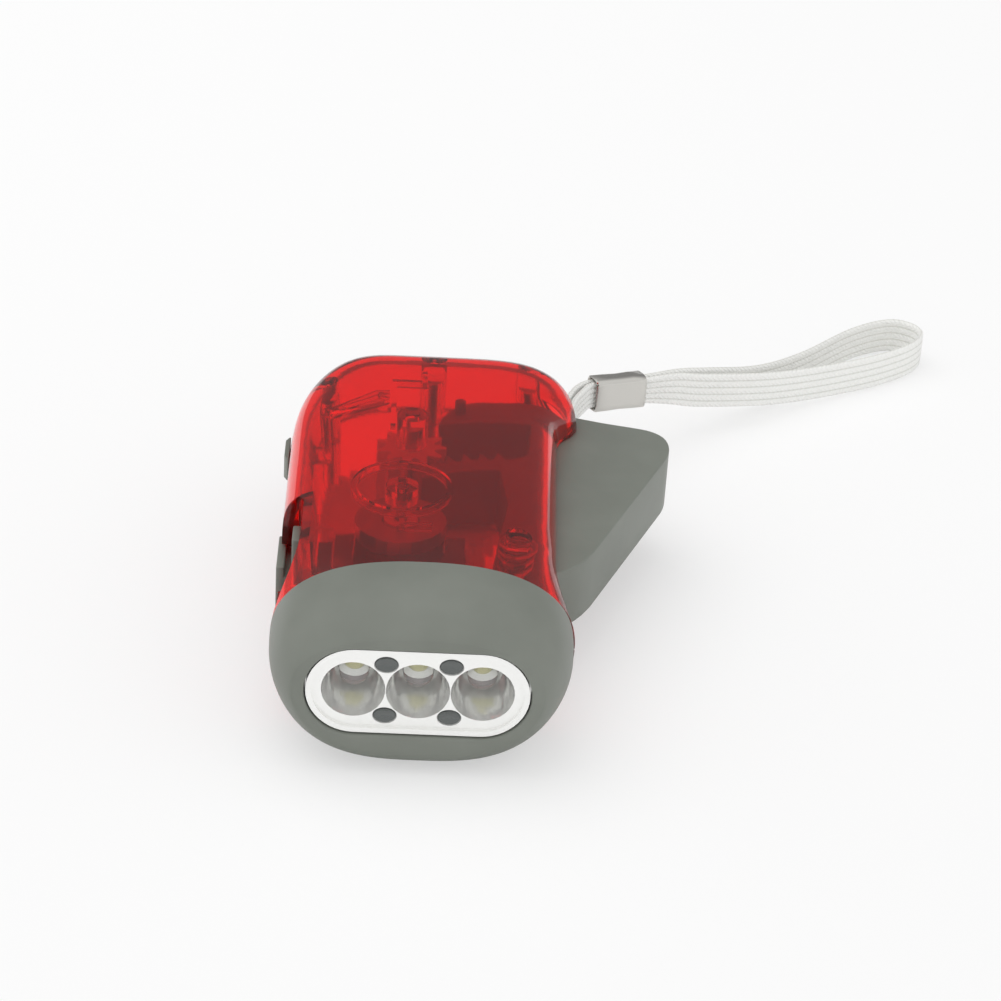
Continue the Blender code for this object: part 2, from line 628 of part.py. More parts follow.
def bezel_ring(share, inset, count):
    """One section of the bezel, this share of the way from its rim to its rear edge; fuller underneath."""
    swell = (1 - (1 - share) ** HEAD_FULLNESS) ** (1 / RIM_CREASE)
    under = rounded(1 - share, HEAD_UNDER_ROUNDNESS)
    rim_x = OPENING_WIDTH / 2 + RIM_WIDTH
    rim_z = OPENING_HEIGHT / 2 + RIM_WIDTH
    wide = rim_x + (HEAD_HALF_WIDTH - rim_x) * swell - inset
    ring = []
    for i in range(count):
        angle = math.tau * i / count
        square_across, square_up = head_squareness(angle)
        tall = rim_z + (HEAD_HALF_HEIGHT - rim_z) * (swell if math.sin(angle) > 0 else under) - inset
        across = math.copysign(abs(math.cos(angle)) ** (2 / square_across), math.cos(angle))
        up = math.copysign(abs(math.sin(angle)) ** (2 / square_up), math.sin(angle))
        ring.append((HEAD_CENTRE_X * swell + wide * across, HEAD_Y + HEAD_DEPTH * share,
                     HEAD_HALF_HEIGHT + tall * up))
    return ring


BEZEL_SHARES = (0.0, 0.04, 0.12, 0.26, 0.46, 0.72, 1.0)
bezel = loft("head_bezel", [bezel_ring(share, 0, 36) for share in BEZEL_SHARES])
bezel_rings = [bezel_ring(share, WALL, 28) for share in BEZEL_SHARES]
bezel_rings[0] = [(x, HEAD_Y + WALL, z) for x, y, z in bezel_rings[0]]
bezel_rings[1:3] = []
bezel_rings[-1] = [(x, y + OVERRUN, z) for x, y, z in bezel_rings[-1]]
carve(bezel, loft("hollow", bezel_rings))
opening = stadium(OPENING_WIDTH / 2, OPENING_HEIGHT / 2)
carve(bezel, lying_prism("opening", opening, HEAD_Y - OVERRUN, HEAD_Y + WALL + OVERRUN, HEAD_HALF_HEIGHT))
finish_piece(bezel, GREY_PLASTIC)

# Reflector: a stadium cup behind the rim, with three bowls, a hole for each LED and round dimples between them
led_places = [(k * LED_PITCH, name) for k, name in ((-1, "led_left"), (0, "led_centre"), (1, "led_right"))]
cup_front = HEAD_Y + REFLECTOR_SEAT
cup_rear = cup_front + REFLECTOR_DEPTH
tray = cup_front + TRAY_DEPTH
cup = stadium(OPENING_WIDTH / 2 - GAP, OPENING_HEIGHT / 2 - GAP)
reflector = lying_prism("reflector", cup, cup_front, cup_rear, HEAD_HALF_HEIGHT)
lip = stadium(OPENING_WIDTH / 2 - GAP - REFLECTOR_WALL, OPENING_HEIGHT / 2 - GAP - REFLECTOR_WALL)
carve(reflector, lying_prism("mouth", lip, cup_front - OVERRUN, tray, HEAD_HALF_HEIGHT))


def bowl(name, x, count=18):
    """The hollow of one bowl, wide at the front and narrow round its LED."""
    rings = []
    hole = LED_RADIUS + GAP
    bottom = cup_rear - REFLECTOR_WALL
    for share in (0.0, 0.35, 0.65, 0.88, 1.0):
        radius = hole + (BOWL_RADIUS - hole) * math.sqrt(1 - share)
        y = tray + (bottom - tray) * share
        rings.append([(x + px, y, HEAD_HALF_HEIGHT + pz) for px, pz in circle(0, 0, radius, count)])
    rings.insert(0, [(px, py - OVERRUN, pz) for px, py, pz in rings[0]])
    rings.append([(px, cup_rear + OVERRUN, pz) for px, py, pz in rings[-1]])
    return loft(name, rings)


for led_x, led_name in led_places:
    carve(reflector, bowl("bowl", led_x))
for x in (-LED_PITCH / 2, LED_PITCH / 2):
    for z in (-DIMPLE_RISE, DIMPLE_RISE):
        dimple = [(x + px, z + pz) for px, pz in circle(0, 0, DIMPLE_RADIUS, 12)]
        carve(reflector, lying_prism("dimple", dimple, cup_front, tray + TRAY_DEPTH, HEAD_HALF_HEIGHT))
finish_piece(reflector, BRIGHT_METAL)


# LEDs: a domed body with a flange at its foot and two legs
def led(name, x, count=14):
    foot = cup_rear + GAP + LED_FLANGE_DEPTH
    tip = foot - LED_LENGTH
    rings = []
    for share in (0.12, 0.38, 0.62, 0.82, 0.95, 1.0):
        radius = LED_RADIUS * share
        rings.append((radius, tip + LED_RADIUS * (1 - math.sqrt(1 - share ** 2))))
    rings += [(LED_RADIUS, foot - LED_FLANGE_DEPTH), (LED_FLANGE_RADIUS, foot - LED_FLANGE_DEPTH),
              (LED_FLANGE_RADIUS, foot)]
    body = loft(name, [[(x + px, y, HEAD_HALF_HEIGHT + pz) for px, pz in circle(0, 0, radius, count)]
                       for radius, y in rings])
    for side in (-1, 1):
        middle = HEAD_HALF_HEIGHT + side * LED_LEG_PITCH / 2
        leg = LED_LEG_SIZE / 2
        join(body, block("leg", (x - leg, foot - leg, middle - leg),
                         (x + leg, foot + LED_LEG_LENGTH, middle + leg)))
    return finish_piece(body, CLEAR_RESIN)


for led_x, led_name in led_places:
    led(led_name, led_x)
board_front = cup_rear + GAP + LED_FLANGE_DEPTH + LED_LEG_LENGTH + GAP
led_board = lying_prism("led_board", stadium(LED_BOARD_WIDTH / 2, LED_BOARD_HEIGHT / 2), board_front,
                        board_front + BOARD_THICKNESS, HEAD_HALF_HEIGHT)
finish_piece(led_board, BOARD)

# Press lever: handle, inner arm and toothed sector in one moulding, as shares of its reach from the pivot
HANDLE_SHARES = ((0.160, 0.026), (0.210, 0.086), (0.236, 0.133), (0.476, 0.695), (0.488, 0.728), (0.497, 0.779),
                 (0.493, 0.826), (0.476, 0.862), (0.440, 0.891), (0.391, 0.907), (0.293, 0.931), (0.188, 0.962),
                 (0.064, 0.986), (-0.067, 0.997), (-0.143, 0.981), (-0.195, 0.933), (-0.226, 0.872))
WEB_SHARES = ((-0.014, 0.355), (-0.057, 0.080))
HOLLOW_SHARES = ((0.195, 0.150), (0.440, 0.722), (0.458, 0.790), (0.435, 0.850), (0.370, 0.875), (0.200, 0.915),
                 (0.115, 0.900), (0.105, 0.560), (0.060, 0.450), (0.060, 0.170))
PEG_SHARES = ((-0.164, 0.922),)
ARM_ARC_DEG = (105.5, 100, 95, 90)
ARM_LEAD_DEG = 10
RIM_ARC_DEG = (7, 14, 21)
HUB_ARC_DEG = (180, 205, 230, 255, 280, 305)
ARM_INNER_RADIUS = SECTOR_CENTRES + (PINION_TEETH / 2 + TOOTH_RISE_SHARE) * TOOTH_MODULE + RUN_GAP
RIM_INNER_RADIUS = SECTOR_RADIUS - SECTOR_RIM_DEPTH
SECTOR_PITCH = math.tau / SECTOR_TEETH
SECTOR_FIRST = -5
SECTOR_LAST = 1
SECTOR_LEAD_SHARE = 0.25


def round_pivot(radius, degrees):
    """Points on an arc about the lever's pivot."""
    return [(PIVOT_X + radius * math.cos(math.radians(a)), PIVOT_Y + radius * math.sin(math.radians(a)))
            for a in degrees]


def reach_points(shares):
    return [(PIVOT_X + LEVER_LENGTH * x, PIVOT_Y + LEVER_LENGTH * y) for x, y in shares]


line = math.degrees(SECTOR_LINE)
pitch = math.degrees(SECTOR_PITCH)
arm_end = line - LEVER_STROKE_DEG - ARM_LEAD_DEG
teeth = gear_outline(PIVOT_X, PIVOT_Y, SECTOR_TEETH, SECTOR_LINE + SECTOR_PITCH / 2, SECTOR_FIRST, SECTOR_LAST)
outline = reach_points(HANDLE_SHARES)
outline += round_pivot(ARM_INNER_RADIUS, ARM_ARC_DEG + (arm_end,))
outline += round_pivot(SECTOR_RADIUS + TOOTH_MODULE, (arm_end,))
tooth_root = SECTOR_RADIUS - TOOTH_FALL_SHARE * TOOTH_MODULE
outline += round_pivot(tooth_root, (line + pitch * (SECTOR_FIRST - SECTOR_LEAD_SHARE),))
outline += teeth
outline += round_pivot(RIM_INNER_RADIUS, [line + pitch * SECTOR_LAST] + [line - angle for angle in RIM_ARC_DEG])
outline += reach_points(WEB_SHARES)
outline += round_pivot(HUB_RADIUS, HUB_ARC_DEG)
lever = prism("press_lever", outline, LEVER_BOTTOM, LEVER_TOP)
carve(lever, prism("hollow", reach_points(HOLLOW_SHARES), LEVER_BOTTOM - OVERRUN, LEVER_TOP - LEVER_WALL))
carve(lever, cylinder("bore", PIVOT_X, PIVOT_Y, PIVOT_PIN_RADIUS + GAP, 0, CASE_HEIGHT, 12))
peg_x, peg_y = reach_points(PEG_SHARES)[0]
join(lever, cylinder("peg", peg_x, peg_y, LOCK_PEG_RADIUS, LEVER_TOP - LEVER_WALL,
                     LEVER_TOP + LOCK_PEG_HEIGHT, 10))
finish_piece(lever, GREY_PLASTIC, (PIVOT_X, PIVOT_Y, 0))
pin_bottom = PIVOT_SEAT_TOP - 2 * WALL + GAP
pivot_pin = cylinder("lever_pivot_pin", PIVOT_X, PIVOT_Y, PIVOT_PIN_RADIUS, pin_bottom,
                     pin_bottom + PIVOT_PIN_LENGTH, 12)
finish_piece(pivot_pin, STEEL, (PIVOT_X, PIVOT_Y, 0))

# First gear: a wheel that drives the rotor, below a tall pinion that the sector drives
wheel_top = WHEEL_BOTTOM + WHEEL_THICKNESS
wheel_turn = ROTOR_LINE + math.pi
gear = prism("first_gear", gear_outline(GEAR_X, GEAR_Y, WHEEL_TEETH, wheel_turn), WHEEL_BOTTOM, wheel_top)
pinion = gear_outline(GEAR_X, GEAR_Y, PINION_TEETH, SECTOR_LINE + math.pi)
join(gear, prism("pinion", pinion, wheel_top - OVERRUN / 2, GEAR_TOP))
carve(gear, cylinder("bore", GEAR_X, GEAR_Y, GEAR_AXLE_RADIUS + GAP, 0, CASE_HEIGHT, 12))
finish_piece(gear, WHITE_PLASTIC, (GEAR_X, GEAR_Y, 0))
gear_axle = cylinder("first_gear_axle", GEAR_X, GEAR_Y, GEAR_AXLE_RADIUS, WALL + GAP,
                     GEAR_BOSS_BOTTOM + 2 * WALL - GAP, 12)
finish_piece(gear_axle, STEEL, (GEAR_X, GEAR_Y, 0))

# Rotor: pinion with its hub, ring magnet and flywheel, on a fixed axle
rotor_turn = ROTOR_LINE + math.pi / ROTOR_TEETH
magnet_top = MAGNET_BOTTOM + MAGNET_HEIGHT
flywheel_bottom = magnet_top + GAP
hub_top = flywheel_bottom + FLYWHEEL_HEIGHT + GAP
rotor = prism("rotor_pinion", gear_outline(ROTOR_X, ROTOR_Y, ROTOR_TEETH, rotor_turn), WHEEL_BOTTOM, wheel_top)
hub_low = wheel_top - OVERRUN / 2
join(rotor, cylinder("hub", ROTOR_X, ROTOR_Y, ROTOR_HUB_RADIUS, hub_low, hub_top, 16))
join(rotor, cylinder("seat", ROTOR_X, ROTOR_Y, ROTOR_HUB_RADIUS + WALL, hub_low, MAGNET_BOTTOM - GAP, 16))
carve(rotor, cylinder("bore", ROTOR_X, ROTOR_Y, ROTOR_AXLE_RADIUS + GAP, 0, CASE_HEIGHT, 12))
finish_piece(rotor, WHITE_PLASTIC, (ROTOR_X, ROTOR_Y, 0))


def ring_piece(name, outer, bottom, top, material, count=24):
    """A ring that sits on the rotor's hub."""
    piece = cylinder(name, ROTOR_X, ROTOR_Y, outer, bottom, top, count)
    carve(piece, cylinder("bore", ROTOR_X, ROTOR_Y, ROTOR_HUB_RADIUS + GAP, 0, CASE_HEIGHT, 16))
    return finish_piece(piece, material, (ROTOR_X, ROTOR_Y, 0))


ring_piece("rotor_magnet", MAGNET_RADIUS, MAGNET_BOTTOM, magnet_top, MAGNET)
ring_piece("flywheel", FLYWHEEL_RADIUS, flywheel_bottom, flywheel_bottom + FLYWHEEL_HEIGHT, STEEL)
axle_top = CASE_HEIGHT - WALL - GAP
rotor_axle = cylinder("rotor_axle", ROTOR_X, ROTOR_Y, ROTOR_AXLE_RADIUS, WALL + GAP, axle_top, 10)
finish_piece(rotor_axle, STEEL, (ROTOR_X, ROTOR_Y, 0))

# Stator core: a bar in front of the rotor, and an arm either side that is hollowed round the magnet
inner = MAGNET_RADIUS + POLE_GAP
outer = inner + POLE_WIDTH
bar_front = HEAD_Y + CORE_BAR_BACK - CORE_BAR_WIDTH / 2
bar_rear = bar_front + CORE_BAR_WIDTH
pole_end = HEAD_Y + POLE_END_BACK
core_outline = ((ROTOR_X - outer, bar_front), (ROTOR_X + outer, bar_front), (ROTOR_X + outer, pole_end),
                (ROTOR_X + inner - GAP, pole_end), (ROTOR_X + inner - WALL, ROTOR_Y - POLE_WIDTH),
                (ROTOR_X + inner - GAP, bar_rear), (ROTOR_X - inner + GAP, bar_rear),
                (ROTOR_X - inner + WALL, ROTOR_Y - POLE_WIDTH), (ROTOR_X - inner + GAP, pole_end),
                (ROTOR_X - outer, pole_end))
core_top = CORE_BOTTOM + CORE_THICKNESS
core = prism("stator_core", core_outline, CORE_BOTTOM, core_top)
carve(core, cylinder("rotor_space", ROTOR_X, ROTOR_Y, inner, 0, CASE_HEIGHT, 32))
finish_piece(core, STEEL)


def lying_turned(name, x, y, z, profile, count=16):
    """A turned piece whose axis lies along X; the profile is (radius, place along X)."""
    return loft(name, [[(x + length, y + px, z + pz) for px, pz in circle(0, 0, radius, count)]
                       for radius, length in profile])


# Coil: a bobbin on the core's bar, and the winding between its flanges
coil_y = HEAD_Y + CORE_BAR_BACK
coil_z = CORE_BOTTOM + CORE_THICKNESS / 2
half = BOBBIN_LENGTH / 2
inside = half - BOBBIN_FLANGE
bobbin = lying_turned("coil_bobbin", ROTOR_X, coil_y, coil_z,
                      ((BOBBIN_RADIUS, -half), (BOBBIN_RADIUS, -inside), (BOBBIN_TUBE_RADIUS, -inside),
                       (BOBBIN_TUBE_RADIUS, inside), (BOBBIN_RADIUS, inside), (BOBBIN_RADIUS, half)))
tunnel = CORE_BAR_WIDTH / 2 + GAP
carve(bobbin, block("tunnel", (ROTOR_X - half - OVERRUN, coil_y - tunnel, CORE_BOTTOM - GAP),
                    (ROTOR_X + half + OVERRUN, coil_y + tunnel, core_top + GAP)))
finish_piece(bobbin, BLACK_PLASTIC)
winding = lying_turned("coil_winding", ROTOR_X, coil_y, coil_z,
                       ((WINDING_RADIUS, GAP - inside), (WINDING_RADIUS, inside - GAP)), 20)
carve(winding, lying_turned("bore", ROTOR_X, coil_y, coil_z,
                            ((BOBBIN_TUBE_RADIUS + GAP, -half), (BOBBIN_TUBE_RADIUS + GAP, half)), 16))
finish_piece(winding, COPPER)


# Lever spring: turns round the pivot boss, one leg on the lever and one against the case wall
def tube(name, points, radius, sides=8):
    """A round wire or cord along points."""
    curve = bpy.data.curves.new(name, "CURVE")
    curve.dimensions = "3D"
    curve.bevel_depth = radius
    curve.bevel_resolution = (sides - 4) // 2
    curve.use_fill_caps = True
    spline = curve.splines.new("POLY")
    spline.points.add(len(points) - 1)
    for place, point in zip(spline.points, points):
        place.co = (*point, 1)
    item = bpy.data.objects.new(name, curve)
    bpy.context.collection.objects.link(item)
    return item


spring_bottom = LEVER_TOP + GAP + SPRING_WIRE_RADIUS
spring_steps = round(SPRING_TURNS * SPRING_CURL_POINTS)
turns = []
for i in range(spring_steps + 1):
    angle = math.pi + math.tau * SPRING_TURNS * i / spring_steps
    turns.append((PIVOT_X + SPRING_RADIUS * math.cos(angle), PIVOT_Y + SPRING_RADIUS * math.sin(angle),
                  spring_bottom + SPRING_PITCH * SPRING_TURNS * i / spring_steps))
leg_in = [(turns[0][0], turns[0][1] + SPRING_LEG_LENGTH, spring_bottom)]
leg_out = [(turns[-1][0] + SPRING_LEG_LENGTH, turns[-1][1], turns[-1][2])]
spring = tube("lever_spring", leg_in + turns + leg_out, SPRING_WIRE_RADIUS, 6)
spring.data.materials.append(STEEL)
least = min(math.dist(a, b) for i, a in enumerate(turns) for b in turns[i + SPRING_CURL_POINTS // 2:])
print("lever_spring least gap between turns, mm:", round((least - 2 * SPRING_WIRE_RADIUS) * 1000, 3))

# Light switch: a grip outside, a tab behind it, and a peg through to the switch inside
recess_x = -CASE_HALF_WIDTH + RECESS_DEPTH
switch_y = HEAD_Y + SWITCH_BACK
plate_out = -CASE_HALF_WIDTH - SWITCH_PROUD
half = SWITCH_LENGTH / 2
slider = block("light_switch_slider", (plate_out, switch_y - half, SWITCH_PLATE_BOTTOM),
               (plate_out + SWITCH_PLATE_THICKNESS, switch_y + half, SWITCH_PLATE_TOP))
tab_front = switch_y - half
tab_low = SWITCH_PLATE_BOTTOM + WALL
join(slider, block("bridge", (plate_out + SWITCH_PLATE_THICKNESS / 2, tab_front, tab_low),
                   (recess_x - GAP, switch_y + half, SEAM_HEIGHT + WALL / 2)))
join(slider, block("tab", (recess_x - GAP - SWITCH_PLATE_THICKNESS, tab_front, tab_low + GAP),
                   (recess_x - GAP, tab_front + SWITCH_TAB_LENGTH, SWITCH_TAB_TOP)))
peg = SWITCH_PEG_SIZE / 2
body_x = recess_x + WALL + GAP
join(slider, block("peg", (recess_x - WALL, switch_y - peg, SEAM_HEIGHT - peg),
                   (body_x, switch_y + peg, SEAM_HEIGHT + peg)))
finish_piece(slider, GREY_PLASTIC, (recess_x, switch_y, SEAM_HEIGHT))
half = SWITCH_BODY_LENGTH / 2
mid = switch_y - SWITCH_TRAVEL / 2
switch_body = block("slide_switch_body", (body_x + GAP, mid - half, SEAM_HEIGHT - SWITCH_BODY_HEIGHT / 2),
                    (body_x + GAP + SWITCH_BODY_DEPTH, mid + half, SEAM_HEIGHT + SWITCH_BODY_HEIGHT / 2))
finish_piece(switch_body, BLACK_PLASTIC)

# Lever lock: a grip on the left side, whose arm reaches over the pressed lever's peg
lock_y = HEAD_Y + LOCK_BACK
wall_x = -CASE_HALF_WIDTH
half = LOCK_LENGTH / 2
grip = [(wall_x - GAP, -half), (wall_x - GAP, half), (wall_x - LOCK_THICKNESS / 2, half),
        (wall_x - LOCK_THICKNESS, half - LOCK_THICKNESS), (wall_x - LOCK_THICKNESS, LOCK_THICKNESS - half),
        (wall_x - LOCK_THICKNESS / 2, -half)]
lock = prism("lever_lock_slider", [(x, lock_y + y) for x, y in grip], LOCK_MIDDLE - LOCK_HEIGHT / 2,
             LOCK_MIDDLE + LOCK_HEIGHT / 2)
neck = LOCK_NECK_LENGTH / 2
riser_x = wall_x + LOCK_RISER_INSET
neck_low = LOCK_MIDDLE - LOCK_NECK_HEIGHT / 2
arm_top = LOCK_ARM_BOTTOM + LOCK_ARM_THICKNESS
join(lock, block("neck", (wall_x - LOCK_THICKNESS / 2, lock_y - neck, neck_low),
                 (riser_x + LOCK_ARM_THICKNESS, lock_y + neck, LOCK_MIDDLE + LOCK_NECK_HEIGHT / 2)))
join(lock, block("riser", (riser_x, lock_y - neck, neck_low + GAP),
                 (riser_x + LOCK_ARM_THICKNESS, lock_y + neck, arm_top)))
tooth_y = HEAD_Y + LOCK_TOOTH_BACK
reach = LOCK_TOOTH_SIZE / 2
arm_plan = ((riser_x + GAP, lock_y - neck + GAP), (LOCK_ARM_END_X + reach, tooth_y - LOCK_TOOTH_SIZE),
            (LOCK_ARM_END_X + reach, tooth_y + reach), (LOCK_ARM_END_X - reach, tooth_y + reach),
            (riser_x + GAP, lock_y + neck - GAP))
join(lock, prism("arm", arm_plan, LOCK_ARM_BOTTOM, arm_top - GAP))
join(lock, block("tooth", (LOCK_ARM_END_X - reach + GAP, tooth_y - reach, LOCK_TOOTH_BOTTOM),
                 (LOCK_ARM_END_X + reach - GAP, tooth_y + reach - GAP, arm_top - 2 * GAP)))
finish_piece(lock, GREY_PLASTIC, (wall_x, lock_y, LOCK_MIDDLE))

# Charge store and board on the bottom shell's floor
floor = WALL + GAP
cell_y = HEAD_Y + CELL_BACK
cell_low = CELL_SEAT_TOP + GAP
for cell_name in ("battery_cell_1", "battery_cell_2"):
    finish_piece(cylinder(cell_name, CELL_X, cell_y, CELL_RADIUS, cell_low, cell_low + CELL_HEIGHT, 20), STEEL)
    cell_low += CELL_HEIGHT + GAP
link = block("battery_link", (CELL_X - LINK_WIDTH / 2, cell_y - LINK_LENGTH / 2, cell_low),
             (CELL_X + LINK_WIDTH / 2, cell_y + LINK_LENGTH / 2, cell_low + LINK_THICKNESS))
finish_piece(link, STEEL)
board_right = CHARGE_BOARD_LEFT_X + CHARGE_BOARD_WIDTH
board_y = HEAD_Y + CHARGE_BOARD_BACK
charge_board = block("charge_board", (CHARGE_BOARD_LEFT_X, board_y, floor),
                     (board_right, board_y + CHARGE_BOARD_DEPTH, floor + BOARD_THICKNESS))
finish_piece(charge_board, BOARD)
part_bottom = floor + BOARD_THICKNESS + GAP
edge = CAPACITOR_RADIUS + PART_EDGE
capacitor = cylinder("storage_capacitor", CHARGE_BOARD_LEFT_X + edge, board_y + edge, CAPACITOR_RADIUS,
                     part_bottom, part_bottom + CAPACITOR_HEIGHT, 14)
finish_piece(capacitor, BLACK_PLASTIC)
rectifier_x = board_right - PART_EDGE
rectifier_y = board_y + PART_EDGE
rectifier = block("rectifier", (rectifier_x - RECTIFIER_SIZE, rectifier_y, part_bottom),
                  (rectifier_x, rectifier_y + RECTIFIER_SIZE, part_bottom + RECTIFIER_HEIGHT))
finish_piece(rectifier, BLACK_PLASTIC)

# Case screws
for number, (screw_x, screw_back) in enumerate(SCREW_PLACES, 1):
    head_low = SCREW_HEAD_SINK
    head_high = head_low + SCREW_HEAD_HEIGHT
    screw = turned("case_screw_%d" % number, screw_x, HEAD_Y + screw_back,
                   ((SCREW_HEAD_RADIUS, head_low), (SCREW_HEAD_RADIUS, head_high), (SCREW_RADIUS, head_high),
                    (SCREW_RADIUS, head_high + SCREW_LENGTH)), 10)
    slot = SCREW_HEAD_RADIUS * SCREW_SLOT_SHARE
    carve(screw, block("slot", (screw_x - slot, HEAD_Y + screw_back - GAP, head_low - OVERRUN),
                       (screw_x + slot, HEAD_Y + screw_back + GAP, head_low + SCREW_HEAD_HEIGHT / 2)))
    finish_piece(screw, STEEL, (screw_x, HEAD_Y + screw_back, 0))

# Lanyard: one woven strap standing on edge, out from the anchor, through the crimp, round its loop and back
STRAP_ROUTE = (
    (0.0225, 0.0410, 0.0156), (0.0243, 0.0411, 0.0156), (0.0264, 0.0430, 0.0156), (0.0274, 0.0474, 0.0154),
    (0.0286, 0.0523, 0.0151), (0.0302, 0.0566, 0.0146), (0.03190, 0.06090, 0.0137), (0.03520, 0.06300, 0.0131),
    (0.0401, 0.0660, 0.0123), (0.0486, 0.0707, 0.0108), (0.0550, 0.0744, 0.0088), (0.0672, 0.0801, 0.0066),
    (0.0765, 0.0862, 0.0048), (0.0870, 0.0923, 0.0040), (0.0946, 0.0968, 0.0039), (0.1008, 0.1018, 0.0039),
    (0.1036, 0.1068, 0.0039), (0.1022, 0.1108, 0.0039), (0.0971, 0.1122, 0.0039), (0.0886, 0.1070, 0.0039),
    (0.0768, 0.0946, 0.0041), (0.0668, 0.0852, 0.0056), (0.0560, 0.0779, 0.0084), (0.0478, 0.0722, 0.0108),
    (0.0394, 0.0671, 0.0123), (0.03455, 0.06410, 0.0131), (0.03120, 0.06200, 0.0137), (0.0288, 0.0577, 0.0146),
    (0.0272, 0.0527, 0.0151), (0.0260, 0.0478, 0.0154), (0.0250, 0.0444, 0.0156), (0.0239, 0.0430, 0.0156),
    (0.0225, 0.0429, 0.0156))


def smooth_route(points, steps):
    """Points on a smooth curve through the route's points."""
    ends = [points[0]] + list(points) + [points[-1]]
    smooth = []
    for a, b, c, d in zip(ends, ends[1:], ends[2:], ends[3:]):
        for i in range(steps):
            t = i / steps
            smooth.append(tuple(0.5 * (2 * q + (r - p) * t + (2 * p - 5 * q + 4 * r - s) * t * t
                                       + (3 * q - p - 3 * r + s) * t ** 3) for p, q, r, s in zip(a, b, c, d)))
    smooth.append(points[-1])
    return smooth


def ribbon(name, points, thickness, widths):
    """A flat band standing on edge along points, with a width at each."""
    rings = []
    for i, ((x, y, z), width) in enumerate(zip(points, widths)):
        before = points[max(i - 1, 0)]
        after = points[min(i + 1, len(points) - 1)]
        span = math.hypot(after[0] - before[0], after[1] - before[1])
        aside_x = -(after[1] - before[1]) / span * thickness / 2
        aside_y = (after[0] - before[0]) / span * thickness / 2
        rings.append([(x - aside_x, y - aside_y, z - width / 2), (x + aside_x, y + aside_y, z - width / 2),
                      (x + aside_x, y + aside_y, z + width / 2), (x - aside_x, y - aside_y, z + width / 2)])
    return loft(name, rings)


strap_path = smooth_route(STRAP_ROUTE, 2)
strap_runs = [0.0]
for a, b in zip(strap_path, strap_path[1:]):
    strap_runs.append(strap_runs[-1] + math.dist(a, b))
print("lanyard_strap length, mm:", round(strap_runs[-1] * 1000, 1))

# The strap is gathered from its anchor to past the crimp, and spreads to its full width beyond
strap_widths = []
for run in strap_runs:
    spread = ease((min(run, strap_runs[-1] - run) - STRAP_NECK_LENGTH) / STRAP_SPREAD_LENGTH)
    strap_widths.append(STRAP_NECK_WIDTH + (STRAP_WIDTH - STRAP_NECK_WIDTH) * spread)
finish_piece(ribbon("lanyard_strap", strap_path, STRAP_THICKNESS, strap_widths), WHITE_STRAP)

# Crimp: a flat sleeve round both layers of the strap, where they run side by side
CRIMP_ENTRY = tuple((a + b) / 2 for a, b in zip(STRAP_ROUTE[7], STRAP_ROUTE[25]))
CRIMP_EXIT = tuple((a + b) / 2 for a, b in zip(STRAP_ROUTE[8], STRAP_ROUTE[24]))
layers = math.dist(STRAP_ROUTE[8], STRAP_ROUTE[24]) + STRAP_THICKNESS


def along_crimp(distance):
    """A point on the crimp's middle line, from the middle of its length."""
    span = math.dist(CRIMP_ENTRY, CRIMP_EXIT)
    return tuple((a + b) / 2 + (b - a) * distance / span for a, b in zip(CRIMP_ENTRY, CRIMP_EXIT))


crimp_ends = [along_crimp(-CRIMP_LENGTH / 2), along_crimp(CRIMP_LENGTH / 2)]
bore_ends = [along_crimp(-CRIMP_LENGTH), along_crimp(CRIMP_LENGTH)]
bore_thickness = layers + 2 * GAP
bore_width = STRAP_NECK_WIDTH + 2 * GAP
sleeve_width = bore_width + 2 * CRIMP_WALL
crimp = ribbon("lanyard_crimp", crimp_ends, bore_thickness + 2 * CRIMP_WALL, (sleeve_width, sleeve_width))
carve(crimp, ribbon("bore", bore_ends, bore_thickness, (bore_width, bore_width)))
finish_piece(crimp, STEEL)
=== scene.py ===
import math

import bmesh
import bpy
from mathutils import Matrix, Vector


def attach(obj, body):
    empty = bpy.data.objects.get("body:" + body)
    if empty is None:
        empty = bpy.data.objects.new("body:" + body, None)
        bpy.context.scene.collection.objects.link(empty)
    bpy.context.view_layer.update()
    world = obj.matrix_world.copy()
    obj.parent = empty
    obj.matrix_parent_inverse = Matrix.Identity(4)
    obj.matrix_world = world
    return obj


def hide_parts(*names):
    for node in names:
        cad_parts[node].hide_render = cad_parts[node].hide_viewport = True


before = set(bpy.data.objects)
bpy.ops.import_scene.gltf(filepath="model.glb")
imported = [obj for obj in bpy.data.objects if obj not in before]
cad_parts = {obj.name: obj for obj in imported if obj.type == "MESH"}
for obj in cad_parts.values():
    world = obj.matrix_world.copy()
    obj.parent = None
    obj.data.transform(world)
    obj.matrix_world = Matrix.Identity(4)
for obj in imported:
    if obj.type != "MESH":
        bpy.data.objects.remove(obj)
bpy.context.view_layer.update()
print("frame loaded")


# Helpers
def linear(hexColour):
    parts = [int(hexColour[i:i + 2], 16) / 255 for i in (1, 3, 5)]
    return tuple(p / 12.92 if p <= 0.04045 else ((p + 0.055) / 1.055) ** 2.4 for p in parts) + (1.0,)


def addNode(tree, kind, settings=None, inputs=None):
    node = tree.nodes.new(kind)
    for name, value in (settings or {}).items():
        setattr(node, name, value)
    for key, value in (inputs or {}).items():
        if isinstance(value, bpy.types.NodeSocket):
            tree.links.new(value, node.inputs[key])
        else:
            node.inputs[key].default_value = value
    return node


def newMaterial(name, values):
    material = bpy.data.materials.new(name)
    material.use_nodes = True
    shader = material.node_tree.nodes["Principled BSDF"]
    for key, value in values.items():
        shader.inputs[key].default_value = linear(value) if isinstance(value, str) else value
    return material


def feed(tree, output, key):
    tree.links.new(output, tree.nodes["Principled BSDF"].inputs[key])


